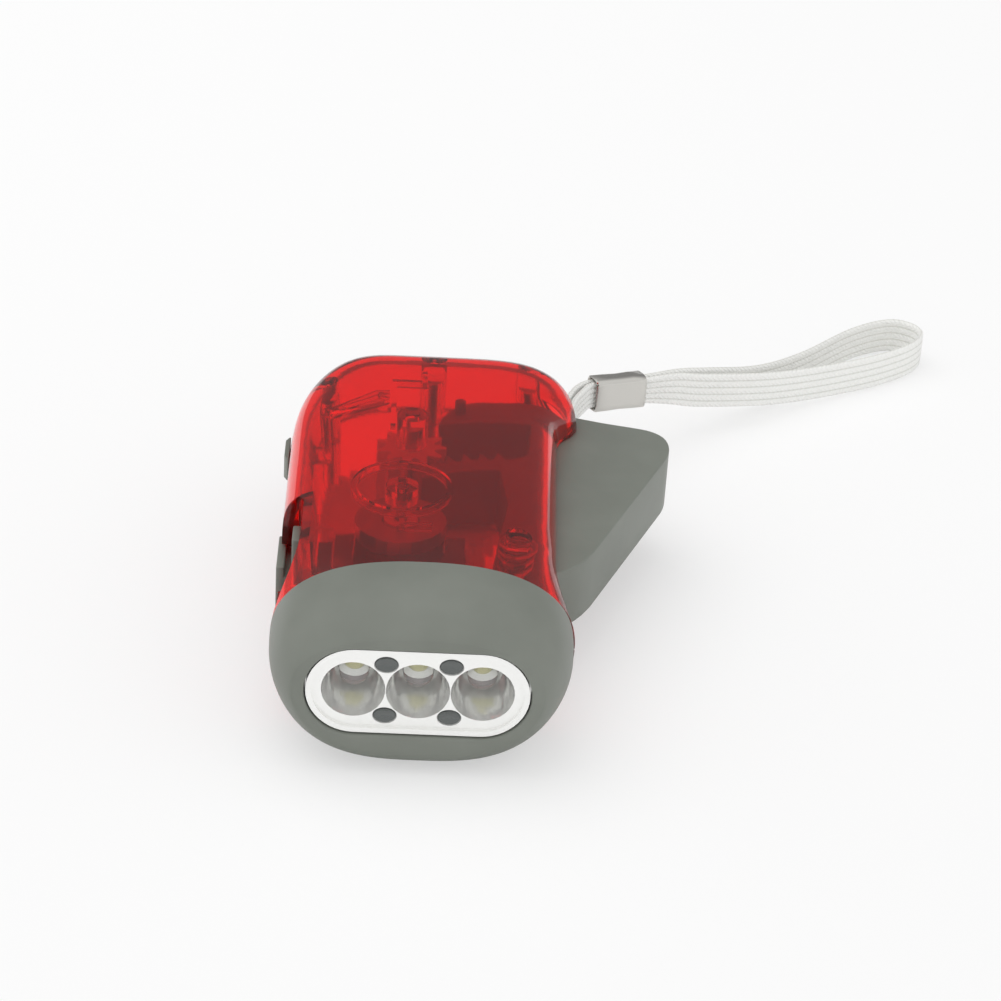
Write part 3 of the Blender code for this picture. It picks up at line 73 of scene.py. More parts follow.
def addGrain(material, size, height, detail=2.0):
    # a bump of soft grains, the size in metres, on the piece's own coordinates
    tree = material.node_tree
    place = addNode(tree, "ShaderNodeTexCoord").outputs["Object"]
    noise = addNode(tree, "ShaderNodeTexNoise", None, {"Vector": place, "Scale": 1 / size, "Detail": detail})
    bump = addNode(tree, "ShaderNodeBump", None, {"Height": noise.outputs["Fac"], "Distance": height})
    feed(tree, bump.outputs["Normal"], "Normal")


def addTint(material, first, second, size, low=0.35, high=0.65, detail=3.0):
    # two near colours that drift into each other over a size in metres
    tree = material.node_tree
    place = addNode(tree, "ShaderNodeTexCoord").outputs["Object"]
    noise = addNode(tree, "ShaderNodeTexNoise", None, {"Vector": place, "Scale": 1 / size, "Detail": detail})
    ramp = addNode(tree, "ShaderNodeValToRGB", None, {"Fac": noise.outputs["Fac"]})
    for stop, share, colour in zip(ramp.color_ramp.elements, (low, high), (first, second)):
        stop.position, stop.color = share, linear(colour)
    feed(tree, ramp.outputs["Color"], "Base Color")


def newObject(name, shape, smoothAngle=35):
    bmesh.ops.remove_doubles(shape, verts=shape.verts, dist=1e-7)
    bmesh.ops.recalc_face_normals(shape, faces=shape.faces)
    mesh = bpy.data.meshes.new(name)
    shape.to_mesh(mesh)
    shape.free()
    item = bpy.data.objects.new(name, mesh)
    bpy.context.collection.objects.link(item)
    mesh.shade_smooth()
    mesh.set_sharp_from_angle(angle=math.radians(smoothAngle))
    return item


def loft(name, rings, closed=False, smoothAngle=35):
    # skin over rings of as many points each; closed joins the last ring to the first
    shape = bmesh.new()
    loops = [[shape.verts.new(point) for point in ring] for ring in rings]
    count = len(loops[0])
    pairs = list(zip(loops, loops[1:])) + ([(loops[-1], loops[0])] if closed else [])
    for lower, upper in pairs:
        for i in range(count):
            j = (i + 1) % count
            shape.faces.new((lower[i], lower[j], upper[j], upper[i]))
    if not closed:
        shape.faces.new(list(reversed(loops[0])))
        shape.faces.new(loops[-1])
    return newObject(name, shape, smoothAngle)


def prism(name, outline, bottom, top):
    return loft(name, [[(x, y, z) for x, y in outline] for z in (bottom, top)])


def block(name, low, high):
    outline = ((low[0], low[1]), (high[0], low[1]), (high[0], high[1]), (low[0], high[1]))
    return prism(name, outline, low[2], high[2])


def onCircle(place, radius, angle):
    return place[0] + radius * math.cos(angle), place[1] + radius * math.sin(angle)


def circle(x, y, radius, count=32):
    return [onCircle((x, y), radius, math.tau * i / count) for i in range(count)]


def cylinder(name, x, y, radius, bottom, top, count=32):
    return prism(name, circle(x, y, radius, count), bottom, top)


def applied(item, smoothAngle=35):
    # turn what the modifiers make into the object's own mesh
    graph = bpy.context.evaluated_depsgraph_get()
    graph.update()
    mesh = bpy.data.meshes.new_from_object(item.evaluated_get(graph))
    item.modifiers.clear()
    item.data = mesh
    mesh.shade_smooth()
    mesh.set_sharp_from_angle(angle=math.radians(smoothAngle))
    return item


def carve(body, tool, operation="DIFFERENCE"):
    step = body.modifiers.new("carve", "BOOLEAN")
    step.operation, step.object = operation, tool
    applied(body)
    bpy.data.objects.remove(tool, do_unlink=True)
    return body


def softenEdges(item, width, segments, angle):
    step = item.modifiers.new("soft edges", "BEVEL")
    step.width, step.segments = width, segments
    step.limit_method, step.angle_limit = "ANGLE", math.radians(angle)
    return applied(item)


def mergedCopy(node, name):
    # a CAD node's shape as a new object of its own, with its loose triangles joined up
    shape = bmesh.new()
    shape.from_mesh(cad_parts[node].data)
    bmesh.ops.remove_doubles(shape, verts=shape.verts, dist=1e-6)
    bmesh.ops.dissolve_limit(shape, angle_limit=math.radians(0.5), verts=shape.verts, edges=shape.edges)
    return newObject(name, shape)


def dress(piece, material, body, node=None):
    piece.data.materials.clear()
    piece.data.materials.append(material)
    if node:
        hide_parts(node)
    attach(piece, body)


def smoothRoute(points, steps):
    # a curve that passes through every point, rounded by its neighbours
    ends = [points[0]] + list(points) + [points[-1]]
    smooth = []
    for a, b, c, d in zip(ends, ends[1:], ends[2:], ends[3:]):
        for i in range(steps):
            t = i / steps
            point = [0.5 * (2 * q + (r - p) * t + (2 * p - 5 * q + 4 * r - s) * t * t
                            + (3 * q - p - 3 * r + s) * t ** 3) for p, q, r, s in zip(a, b, c, d)]
            smooth.append(tuple(point))
    smooth.append(tuple(points[-1]))
    return smooth


def ease(share):
    share = min(max(share, 0.0), 1.0)
    return share * share * (3 - 2 * share)


def rounded(share, squareness):
    share = min(max(share, 0.0), 1.0)
    return (1 - share ** squareness) ** (1 / squareness)


def evenPower(value, power):
    return math.copysign(abs(value) ** power, value)


# Camera, at the height and side the light is seen from
cameraValues = {"place": (-0.0050, -0.44301, 0.28276), "target": (0.01318, -0.00325, 0.02664),
                "rollDeg": 3.64, "lens": 105.93, "sensor": 36, "near": 0.01, "far": 10}
cameraData = bpy.data.cameras.new("camera")
cameraData.lens = cameraValues["lens"]
cameraData.sensor_width, cameraData.sensor_fit = cameraValues["sensor"], "HORIZONTAL"
cameraData.clip_start, cameraData.clip_end = cameraValues["near"], cameraValues["far"]
camera = bpy.data.objects.new("camera", cameraData)
bpy.context.collection.objects.link(camera)
forward = (Vector(cameraValues["target"]) - Vector(cameraValues["place"])).normalized()
level = forward.cross(Vector((0, 0, 1))).normalized()
upright = level.cross(forward)
roll = math.radians(cameraValues["rollDeg"])
across = math.cos(roll) * level + math.sin(roll) * upright
aloft = math.cos(roll) * upright - math.sin(roll) * level
turned = Matrix((across, aloft, -forward)).transposed().to_4x4()
camera.matrix_world = Matrix.Translation(cameraValues["place"]) @ turned
bpy.context.scene.camera = camera

# Materials
# Clear red polystyrene, injection moulded in a polished tool: glossy, and deeper in colour where it is thick
redPolystyrene = newMaterial("redPolystyrene", {"Base Color": "#ff5a50", "Roughness": 0.06, "IOR": 1.5,
                                                "Specular IOR Level": 0.35, "Transmission Weight": 0.96})
addGrain(redPolystyrene, size=0.005, height=0.00002)
tree = redPolystyrene.node_tree
# Its depth takes out green and blue, and hardly any red
redValues = {"Color": (0.988, 0.19, 0.17, 1.0), "Density": 1000.0}
redDepth = addNode(tree, "ShaderNodeVolumeAbsorption", None, redValues)
tree.links.new(redDepth.outputs[0], tree.nodes["Material Output"].inputs["Volume"])
# Grey ABS from a fine spark-eroded tool: satin, even, with a faint grain
greyAbs = newMaterial("greyAbs", {"Roughness": 0.42, "IOR": 1.53})
addTint(greyAbs, "#767a72", "#7c8078", size=0.012)
addGrain(greyAbs, size=0.0003, height=0.000006)
# Vacuum metallised plastic: bright, faintly satin, with slight waves from the moulding below it
mirrorCoating = newMaterial("mirrorCoating", {"Base Color": "#fbfbf9", "Roughness": 0.12, "Metallic": 0.65})
addGrain(mirrorCoating, size=0.0022, height=0.00009)
# Painted shade: the mirror coating darkened to grey, laid in the small dimples for the dark they show
paintedDimpleShade = newMaterial("paintedDimpleShade", {"Base Color": "#6c6f6e", "Roughness": 0.16, "Metallic": 0.8})
addGrain(paintedDimpleShade, size=0.0009, height=0.00004)
# Clear cast epoxy of an LED, faintly milky
clearEpoxy = newMaterial("clearEpoxy", {"Base Color": "#fbfcfb", "Roughness": 0.03, "IOR": 1.51,
                                        "Transmission Weight": 0.8})
# Silver-plated lead frame of an LED: bright and a little soft
silverPlate = newMaterial("silverPlate", {"Base Color": "#f4f4f0", "Roughness": 0.25, "Metallic": 0.5})
# Phosphor in silicone over the chip: matt and pale yellow
phosphorGel = newMaterial("phosphorGel", {"Base Color": "#e8e29a", "Roughness": 0.5})
# Plated steel wire and pins: bright, drawn
brightSteel = newMaterial("brightSteel", {"Base Color": "#b9bbbb", "Roughness": 0.28, "Metallic": 1.0})
addGrain(brightSteel, size=0.0004, height=0.000004)
# Nickel-plated sheet, stamped and polished, with handling marks
polishedPlate = newMaterial("polishedPlate", {"Base Color": "#cfcdc8", "Roughness": 0.2, "Metallic": 1.0})
addGrain(polishedPlate, size=0.0012, height=0.00003, detail=4.0)
# Natural acetal gears: off-white, slightly waxy
acetal = newMaterial("acetal", {"Roughness": 0.4})
addTint(acetal, "#dcd9cc", "#e6e3d8", size=0.006)
# Sintered ferrite: charcoal with a dull grain
ferrite = newMaterial("ferrite", {"Roughness": 0.55})
addTint(ferrite, "#2a2a2c", "#353436", size=0.0015)
addGrain(ferrite, size=0.0005, height=0.00002)
# Electrical steel sheet: blue-grey, brushed
coreSteel = newMaterial("coreSteel", {"Base Color": "#6d7076", "Roughness": 0.4, "Metallic": 1.0})
addGrain(coreSteel, size=0.0004, height=0.00001)
# Black nylon mouldings
blackNylon = newMaterial("blackNylon", {"Roughness": 0.5})
addTint(blackNylon, "#1b1b1c", "#232324", size=0.005)
addGrain(blackNylon, size=0.0004, height=0.000008)
# Enamelled copper wire: a varnish over orange metal
enamelledCopper = newMaterial("enamelledCopper", {"Base Color": "#a4572c", "Roughness": 0.3, "Metallic": 1.0,
                                                  "Coat Weight": 0.6, "Coat Roughness": 0.15})
addGrain(enamelledCopper, size=0.0005, height=0.00001)
# Glass epoxy board with green solder resist
boardResist = newMaterial("boardResist", {"Roughness": 0.35})
addTint(boardResist, "#175a33", "#1e6a3c", size=0.004)
addGrain(boardResist, size=0.0006, height=0.00001)
# The same board with the white resist that LED boards have
whiteResist = newMaterial("whiteResist", {"Base Color": "#f0f0ec", "Roughness": 0.4})
addGrain(whiteResist, size=0.0006, height=0.00001)

print("materials made")

# Strap: a flat woven tape of white polyester, standing on edge, out and back through the crimp
strap = {"width": 0.0075, "neckWidth": 0.0056, "neckLength": 0.034, "spreadLength": 0.014,
         "thickness": 0.0010, "meanWidth": 0.0068, "length": 0.2268, "cords": 5, "lobeLow": 0.72,
         "lobeRise": 0.28, "edgeSquareness": 6, "acrossPoints": 20, "steps": 7, "smoothAngle": 60}
weave = {"stitchLength": 0.0011, "slant": 0.0018, "depth": 0.0001, "share": 0.6, "groove": 0.16,
         "grooveShadeColour": "#e2e2dc", "cordColour": "#fbfbf8"}
strapRoute = (
    (0.0225, 0.0410, 0.0156), (0.0243, 0.0411, 0.0156), (0.0264, 0.0430, 0.0156), (0.0274, 0.0474, 0.0154),
    (0.0286, 0.0523, 0.0151), (0.0302, 0.0566, 0.0146), (0.0319, 0.0609, 0.0137), (0.0352, 0.0630, 0.0131),
    (0.0401, 0.0660, 0.0123), (0.0486, 0.0707, 0.0108), (0.0550, 0.0744, 0.0088), (0.0672, 0.0801, 0.0066),
    (0.0765, 0.0862, 0.0048), (0.0870, 0.0923, 0.0040), (0.0946, 0.0968, 0.0039), (0.1008, 0.1018, 0.0039),
    (0.1036, 0.1068, 0.0039), (0.1022, 0.1108, 0.0039), (0.0971, 0.1122, 0.0039), (0.0886, 0.1070, 0.0039),
    (0.0768, 0.0946, 0.0041), (0.0668, 0.0852, 0.0056), (0.0560, 0.0779, 0.0084), (0.0478, 0.0722, 0.0108),
    (0.0394, 0.0671, 0.0123), (0.03455, 0.0641, 0.0131), (0.0312, 0.0620, 0.0137), (0.0288, 0.0577, 0.0146),
    (0.0272, 0.0527, 0.0151), (0.0260, 0.0478, 0.0154), (0.0250, 0.0444, 0.0156), (0.0239, 0.0430, 0.0156),
    (0.0225, 0.0429, 0.0156))

# Woven polyester: matt, soft sheen; the cords show as rows of slanting stitches 1.5 mm wide, with painted
# shade along the grooves between them
wovenPolyester = newMaterial("wovenPolyester", {"Base Color": "#e4e4de", "Roughness": 0.85,
                                                "Sheen Weight": 0.25})
tree = wovenPolyester.node_tree
product = {"operation": "MULTIPLY"}
uvPlace = addNode(tree, "ShaderNodeUVMap", {"uv_map": "weave"})
splitUv = addNode(tree, "ShaderNodeSeparateXYZ", None, {0: uvPlace.outputs["UV"]}).outputs
cordPhase = addNode(tree, "ShaderNodeMath", product, {0: splitUv["X"], 1: float(strap["cords"])}).outputs[0]
cordSide = addNode(tree, "ShaderNodeMath", {"operation": "PINGPONG"}, {0: cordPhase, 1: 0.5}).outputs[0]
slant = addNode(tree, "ShaderNodeMath", product, {0: cordSide, 1: weave["slant"]}).outputs[0]
leaning = {0: splitUv["Y"], 1: slant}
stitchPlace = addNode(tree, "ShaderNodeMath", {"operation": "ADD"}, leaning).outputs[0]
stitchTurns = {0: stitchPlace, 1: math.tau / weave["stitchLength"]}
stitchPhase = addNode(tree, "ShaderNodeMath", product, stitchTurns).outputs[0]
stitch = addNode(tree, "ShaderNodeMath", {"operation": "SINE"}, {0: stitchPhase}).outputs[0]
stitchBump = {"Height": stitch, "Distance": weave["depth"], "Strength": weave["share"]}
feed(tree, addNode(tree, "ShaderNodeBump", None, stitchBump).outputs["Normal"], "Normal")
# Painted shade: the colour turns darker near each groove between cords
grooves = {"Value": cordSide, "From Max": weave["groove"]}
grooveShadeShare = addNode(tree, "ShaderNodeMapRange", None, grooves).outputs[0]
cordGrooveShade = {"Factor": grooveShadeShare, 6: linear(weave["grooveShadeColour"]), 7: linear(weave["cordColour"])}
feed(tree, addNode(tree, "ShaderNodeMix", {"data_type": "RGBA"}, cordGrooveShade).outputs[2], "Base Color")


def tapeSection():
    # flat tape in section, one unit wide: cords side by side make low lobes, and the selvedges are round
    points = []
    for side in (1, -1):
        for i in range(strap["acrossPoints"] + 1):
            share = side * (1 - 2 * i / strap["acrossPoints"])
            wave = abs(math.sin(math.pi * (share + 1) / 2 * strap["cords"]))
            lobe = strap["lobeLow"] + strap["lobeRise"] * wave
            edge = rounded(abs(share), strap["edgeSquareness"])
            points.append((side * strap["thickness"] / 2 * lobe * edge, share / 2, (share + 1) / 2))
    return points


def makeTape(name, path, runs, widths):
    section = tapeSection()
    shape = bmesh.new()
    uvLayer = shape.loops.layers.uv.new("weave")
    rows = []
    for i, (x, y, z) in enumerate(path):
        before, after = path[max(i - 1, 0)], path[min(i + 1, len(path) - 1)]
        span = math.hypot(after[0] - before[0], after[1] - before[1])
        sideX, sideY = -(after[1] - before[1]) / span, (after[0] - before[0]) / span
        places = [(x + sideX * a, y + sideY * a, z + b * widths[i]) for a, b, c in section]
        rows.append([shape.verts.new(place) for place in places])
    for k in range(len(rows) - 1):
        for i in range(len(section)):
            j = (i + 1) % len(section)
            face = shape.faces.new((rows[k][i], rows[k][j], rows[k + 1][j], rows[k + 1][i]))
            for loop, (a, b) in zip(face.loops, ((i, k), (j, k), (j, k + 1), (i, k + 1))):
                loop[uvLayer].uv = (section[a][2], runs[b])
    shape.faces.new(list(reversed(rows[0])))
    shape.faces.new(rows[-1])
    return newObject(name, shape, strap["smoothAngle"])


strapPath = smoothRoute(strapRoute, strap["steps"])
strapRuns = [0.0]
for a, b in zip(strapPath, strapPath[1:]):
    strapRuns.append(strapRuns[-1] + math.dist(a, b))
strapWidths = []  # gathered from the case to past the crimp, and full beyond
for run in strapRuns:
    spread = ease((min(run, strapRuns[-1] - run) - strap["neckLength"]) / strap["spreadLength"])
    strapWidths.append(strap["neckWidth"] + (strap["width"] - strap["neckWidth"]) * spread)
tape = makeTape("wovenStrap", strapPath, strapRuns, strapWidths)

# Crimp: a sleeve of plated sheet pressed round both layers, its middle a little lower than its ends
crimp = {"length": 0.0120, "wall": 0.0005, "lip": 0.00025, "clearance": 0.0003, "squareness": 7.0,
         "flatSquareness": 3.2, "around": 48, "pinch": 0.8, "pinchReach": 0.5, "smoothAngle": 50}
entry = tuple((a + b) / 2 for a, b in zip(strapRoute[7], strapRoute[25]))
leaving = tuple((a + b) / 2 for a, b in zip(strapRoute[8], strapRoute[24]))
layers = math.dist(strapRoute[8], strapRoute[24]) + strap["thickness"]


def crimpRing(distance, grow):
    # the distance counts from the sleeve's middle, and grow from the sheet's inner face
    span = math.dist(entry, leaving)
    centre = [(a + b) / 2 + (b - a) * distance / span for a, b in zip(entry, leaving)]
    flat = math.hypot(leaving[0] - entry[0], leaving[1] - entry[1])
    sideX, sideY = -(leaving[1] - entry[1]) / flat, (leaving[0] - entry[0]) / flat
    halfThick = layers / 2 + crimp["clearance"] + grow
    halfWide = strap["neckWidth"] / 2 + crimp["clearance"] + grow
    ring = []
    for i in range(crimp["around"]):
        angle = math.tau * i / crimp["around"]
        a = halfThick * evenPower(math.cos(angle), 2 / crimp["flatSquareness"])
        b = halfWide * evenPower(math.sin(angle), 2 / crimp["squareness"])
        ring.append((centre[0] + sideX * a, centre[1] + sideY * a, centre[2] + b))
    return ring


halfLength = crimp["length"] / 2
lip, sheet, bend = crimp["lip"], crimp["wall"], halfLength * crimp["pinchReach"]
crimpSteps = ((-halfLength, lip), (lip - halfLength, sheet), (-bend, sheet), (0, sheet * crimp["pinch"]),
              (bend, sheet), (halfLength - lip, sheet), (halfLength, lip), (halfLength - lip, 0), (0, 0),
              (lip - halfLength, 0))
crimpRings = [crimpRing(distance, grow) for distance, grow in crimpSteps]
sleeve = loft("crimpSleeve", crimpRings, closed=True, smoothAngle=crimp["smoothAngle"])
dress(sleeve, polishedPlate, "case", "lanyard_crimp")
dress(tape, wovenPolyester, "case", "lanyard_strap")
print("strap made")

# Case: rule for its outer skin; distances "back" count from the plane of the light's rim
case = {"length": 0.0965, "headDepth": 0.0155, "neckBack": 0.030, "halfWidth": 0.0242, "height": 0.0305,
        "seamHeight": 0.0156, "wall": 0.0018, "sink": 0.0005, "bodySquareness": 5.5, "headSquareness": 2.4,
        "tailSquareness": 2.7, "tailCentreX": 0.0020, "leftTaperBack": 0.064, "bulgeStart": 0.073,
        "bulgeEnd": 0.079, "rightNeckWidth": 0.0228, "rightRearWidth": 0.0240, "rightCollarWidth": 0.0260,
        "headCentreX": 0.0004, "underAcross": 2.9, "underUp": 1.8, "rightTailReach": 0.0258,
        "rightTailLength": 0.0185, "tailRoundLength": 0.012, "tailRoundSquareness": 3.5,
        "headHalfWidth": 0.0252, "headHalfHeight": 0.0158, "around": 112, "innerAround": 80,
        "neckRows": 12, "bodyRows": 34, "rowCrowding": 2.3, "endGap": 0.00004}
gap = 0.0003  # between pieces that stand still
runGap = 0.0004  # between pieces that move
overrun = 0.003  # how far a cutter goes past a face
headY = -case["length"] / 2
middleHeight = case["height"] / 2
pivot = (0.0158, headY + 0.0294)
rotor = (-0.0039, headY + 0.0434)
gearPlace = (-0.0025036, 0.0206117)
screwPlaces = ((0.0012, 0.0912), (0.0190, 0.0902), (-0.0185, 0.0820))


def neckFlare(back):
    return max(case["neckBack"] - back, 0.0) / (case["neckBack"] - case["headDepth"])


def leftEdge(back, inset):
    collar = case["headHalfWidth"] - case["headCentreX"]
    straight = case["halfWidth"] + (collar - case["halfWidth"]) * neckFlare(back) ** 2 - inset
    reach = case["halfWidth"] + case["tailCentreX"] - inset
    taper = (back - case["leftTaperBack"]) / (case["length"] - inset - case["leftTaperBack"])
    return -straight if taper <= 0 else case["tailCentreX"] - reach * rounded(taper, case["tailSquareness"])


def rightEdge(back, inset):
    run = min(max(back - case["neckBack"], 0.0) / (case["bulgeStart"] - case["neckBack"]), 1.0)
    side = case["rightNeckWidth"] + (case["rightRearWidth"] - case["rightNeckWidth"]) * run
    side += (case["rightCollarWidth"] - case["rightNeckWidth"]) * neckFlare(back) ** 2 - inset
    taper = (back - case["length"] + case["rightTailLength"]) / (case["rightTailLength"] - inset)
    tail = case["tailCentreX"] + (case["rightTailReach"] - inset) * rounded(taper, case["tailSquareness"])
    bulge = ease((back - case["bulgeStart"]) / (case["bulgeEnd"] - case["bulgeStart"]))
    return (1 - bulge) * side + bulge * tail


def caseRing(back, inset, count):
    body, head, under = case["bodySquareness"], case["headSquareness"], (case["underAcross"], case["underUp"])
    flare = neckFlare(back)
    share = (back - case["length"] + case["tailRoundLength"]) / (case["tailRoundLength"] - inset)
    tall = middleHeight + (case["headHalfHeight"] - middleHeight) * flare ** 2 - inset
    tall *= rounded(share, case["tailRoundSquareness"])
    left, right = leftEdge(back, inset), rightEdge(back, inset)
    ring = []
    for i in range(count):
        angle = math.tau * i / count
        squares = (head, head) if math.sin(angle) > 0 else under
        powers = [2 / (body + (value - body) * min(flare, 1.0)) for value in squares]
        side, up = evenPower(math.cos(angle), powers[0]), evenPower(math.sin(angle), powers[1])
        z = middleHeight + tall * up - (case["sink"] * abs(up) if up < 0 else 0)
        ring.append((right * side if side > 0 else -left * side, headY + back, max(z, inset)))
    return ring


def caseSolid(name, inset, count):
    start, neck, end = case["headDepth"] + gap, case["neckBack"], case["length"] - inset
    backs = [start + (neck - start) * i / case["neckRows"] for i in range(case["neckRows"])]
    for i in range(case["bodyRows"] - 2):  # crowded together towards the tail
        backs.append(neck + (end - neck) * (1 - (1 - i / case["bodyRows"]) ** case["rowCrowding"]))
    backs.append(end - case["endGap"])
    rings = [caseRing(back, inset, count) for back in backs]
    if inset:
        rings[0] = [(x, y - overrun, z) for x, y, z in rings[0]]
    return loft(name, rings)


def along(places):
    return [(x, headY + back) for x, back in places]


# Inside of the shells: posts, bearings, ribs
inside = {"postRadius": 0.0024, "gearBossRadius": 0.0028, "gearBossBottom": 0.0226,
          "bearingRadius": 0.00285, "bearingDrop": 0.0030, "ringRadius": 0.0087, "ringWall": 0.0009,
          "ringDrop": 0.0013, "pivotBossRadius": 0.0021, "pivotSeatRadius": 0.0038, "pivotSeatTop": 0.0100,
          "wheelBottom": 0.0055, "leverTop": 0.0219, "leverBottom": 0.0104, "coreX": 0.0098,
          "coreBack": 0.0270, "corePostRadius": 0.0014, "coreBottom": 0.0128, "cellX": 0.0121,
          "cellBack": 0.0420, "cellSeatRadius": 0.0045, "cellSeatTop": 0.0027, "anchorEndX": 0.0222,
          "anchorWidth": 0.0042, "pinRadii": (0.00125, 0.001, 0.00085), "screwHole": 0.0012,
          "screwHoleTop": 0.0239, "headHole": 0.0020, "headHoleTop": 0.0049, "bossAround": 28,
          "postAround": 20, "ringAround": 64, "cellAround": 32, "holeAround": 24}
ribPlaces = ((-0.0064, 0.0170, -0.0055, 0.0338), (-0.0058, 0.0329, 0.0006, 0.0338),
             (-0.0009, 0.0334, 0.0000, 0.0372), (-0.0042, -0.0180, 0.0014, -0.0171),
             (-0.0042, -0.0175, -0.0033, -0.0142))
recess = {"depth": 0.0037, "start": 0.0295, "end": 0.0445, "bottom": 0.0094, "top": 0.0190,
          "shoulderBack": 0.0400, "gateSteps": 12}
openings = {"slotStart": 0.0271, "slotEnd": 0.0885, "exitBack": 0.0919, "slotClearance": 0.0003,
            "switchBack": 0.0384, "switchTravel": 0.003, "pegSize": 0.0018, "lockBack": 0.0730,
            "lockTravel": 0.004, "lockMiddle": 0.0172, "lockNeckLength": 0.003, "lockNeckHeight": 0.0024}


def shellSpan(upper):
    if upper:
        return case["seamHeight"] + gap / 2, case["height"] + overrun
    return -overrun, case["seamHeight"] - gap / 2


def shellBosses(upper):
    low, high = shellSpan(upper)
    wall = case["wall"]
    bossSides, postSides = inside["bossAround"], inside["postAround"]
    bosses = []
    for place in along(screwPlaces):
        bosses.append(cylinder("post", *place, inside["postRadius"], low, high, bossSides))
    outer, inner = -case["halfWidth"] - wall, -case["halfWidth"] + recess["depth"] + wall
    front, rear = headY + recess["start"] - wall, headY + recess["end"] + wall
    if upper:  # the recess's wall is tall beside the open part, and only a lid over the rest
        shoulder, lidTop = headY + recess["shoulderBack"] + wall, recess["top"] + wall
        ceiling = case["height"] - wall
        ringBottom = ceiling - inside["ringDrop"]
        bosses.append(block("recessWall", (outer, front, low), (inner, shoulder, high)))
        bosses.append(block("recessLid", (outer, shoulder - gap, low), (inner, rear, lidTop)))
        pivotBottom, bearingBottom = inside["leverTop"] + runGap, ceiling - inside["bearingDrop"]
        rounds = (("pivotBoss", pivot, inside["pivotBossRadius"], pivotBottom, high, bossSides),
                  ("axleBoss", gearPlace, inside["gearBossRadius"], inside["gearBossBottom"], high,
                   bossSides),
                  ("bearing", rotor, inside["bearingRadius"], bearingBottom, high, bossSides))
    else:
        seatTop = inside["wheelBottom"] - runGap
        coreY, coreTop = headY + inside["coreBack"], inside["coreBottom"] - gap
        cellPlace = (inside["cellX"], headY + inside["cellBack"])
        bosses.append(block("recessWall", (outer, front, recess["bottom"] - wall), (inner, rear, high)))
        rounds = [("pivotSeat", pivot, inside["pivotSeatRadius"], low, inside["pivotSeatTop"], bossSides),
                  ("axleSeat", gearPlace, inside["gearBossRadius"], low, seatTop, bossSides),
                  ("bearing", rotor, inside["bearingRadius"], low, seatTop, bossSides)]
        for coreX in (rotor[0] - inside["coreX"], rotor[0] + inside["coreX"]):
            rounds.append(("corePost", (coreX, coreY), inside["corePostRadius"], low, coreTop, postSides))
        rounds.append(("cellSeat", cellPlace, inside["cellSeatRadius"], low, inside["cellSeatTop"],
                       inside["cellAround"]))
    for name, place, radius, bottom, top, count in rounds:
        bosses.append(cylinder(name, *place, radius, bottom, top, count))
    if upper:
        radius, count = inside["ringRadius"], inside["ringAround"]
        ring = cylinder("ring", *rotor, radius, ringBottom, high, count)
        bore = cylinder("bore", *rotor, radius - inside["ringWall"], 0, high + overrun, count)
        bosses.append(carve(ring, bore))
        for x1, y1, x2, y2 in ribPlaces:
            bosses.append(block("rib", (x1, y1, ringBottom), (x2, y2, high)))
    else:
        x, y = along(screwPlaces)[1]
        reach = inside["anchorWidth"] / 2
        bosses.append(block("anchor", (x, y - reach, low), (inside["anchorEndX"], y + reach, high)))
    return bosses


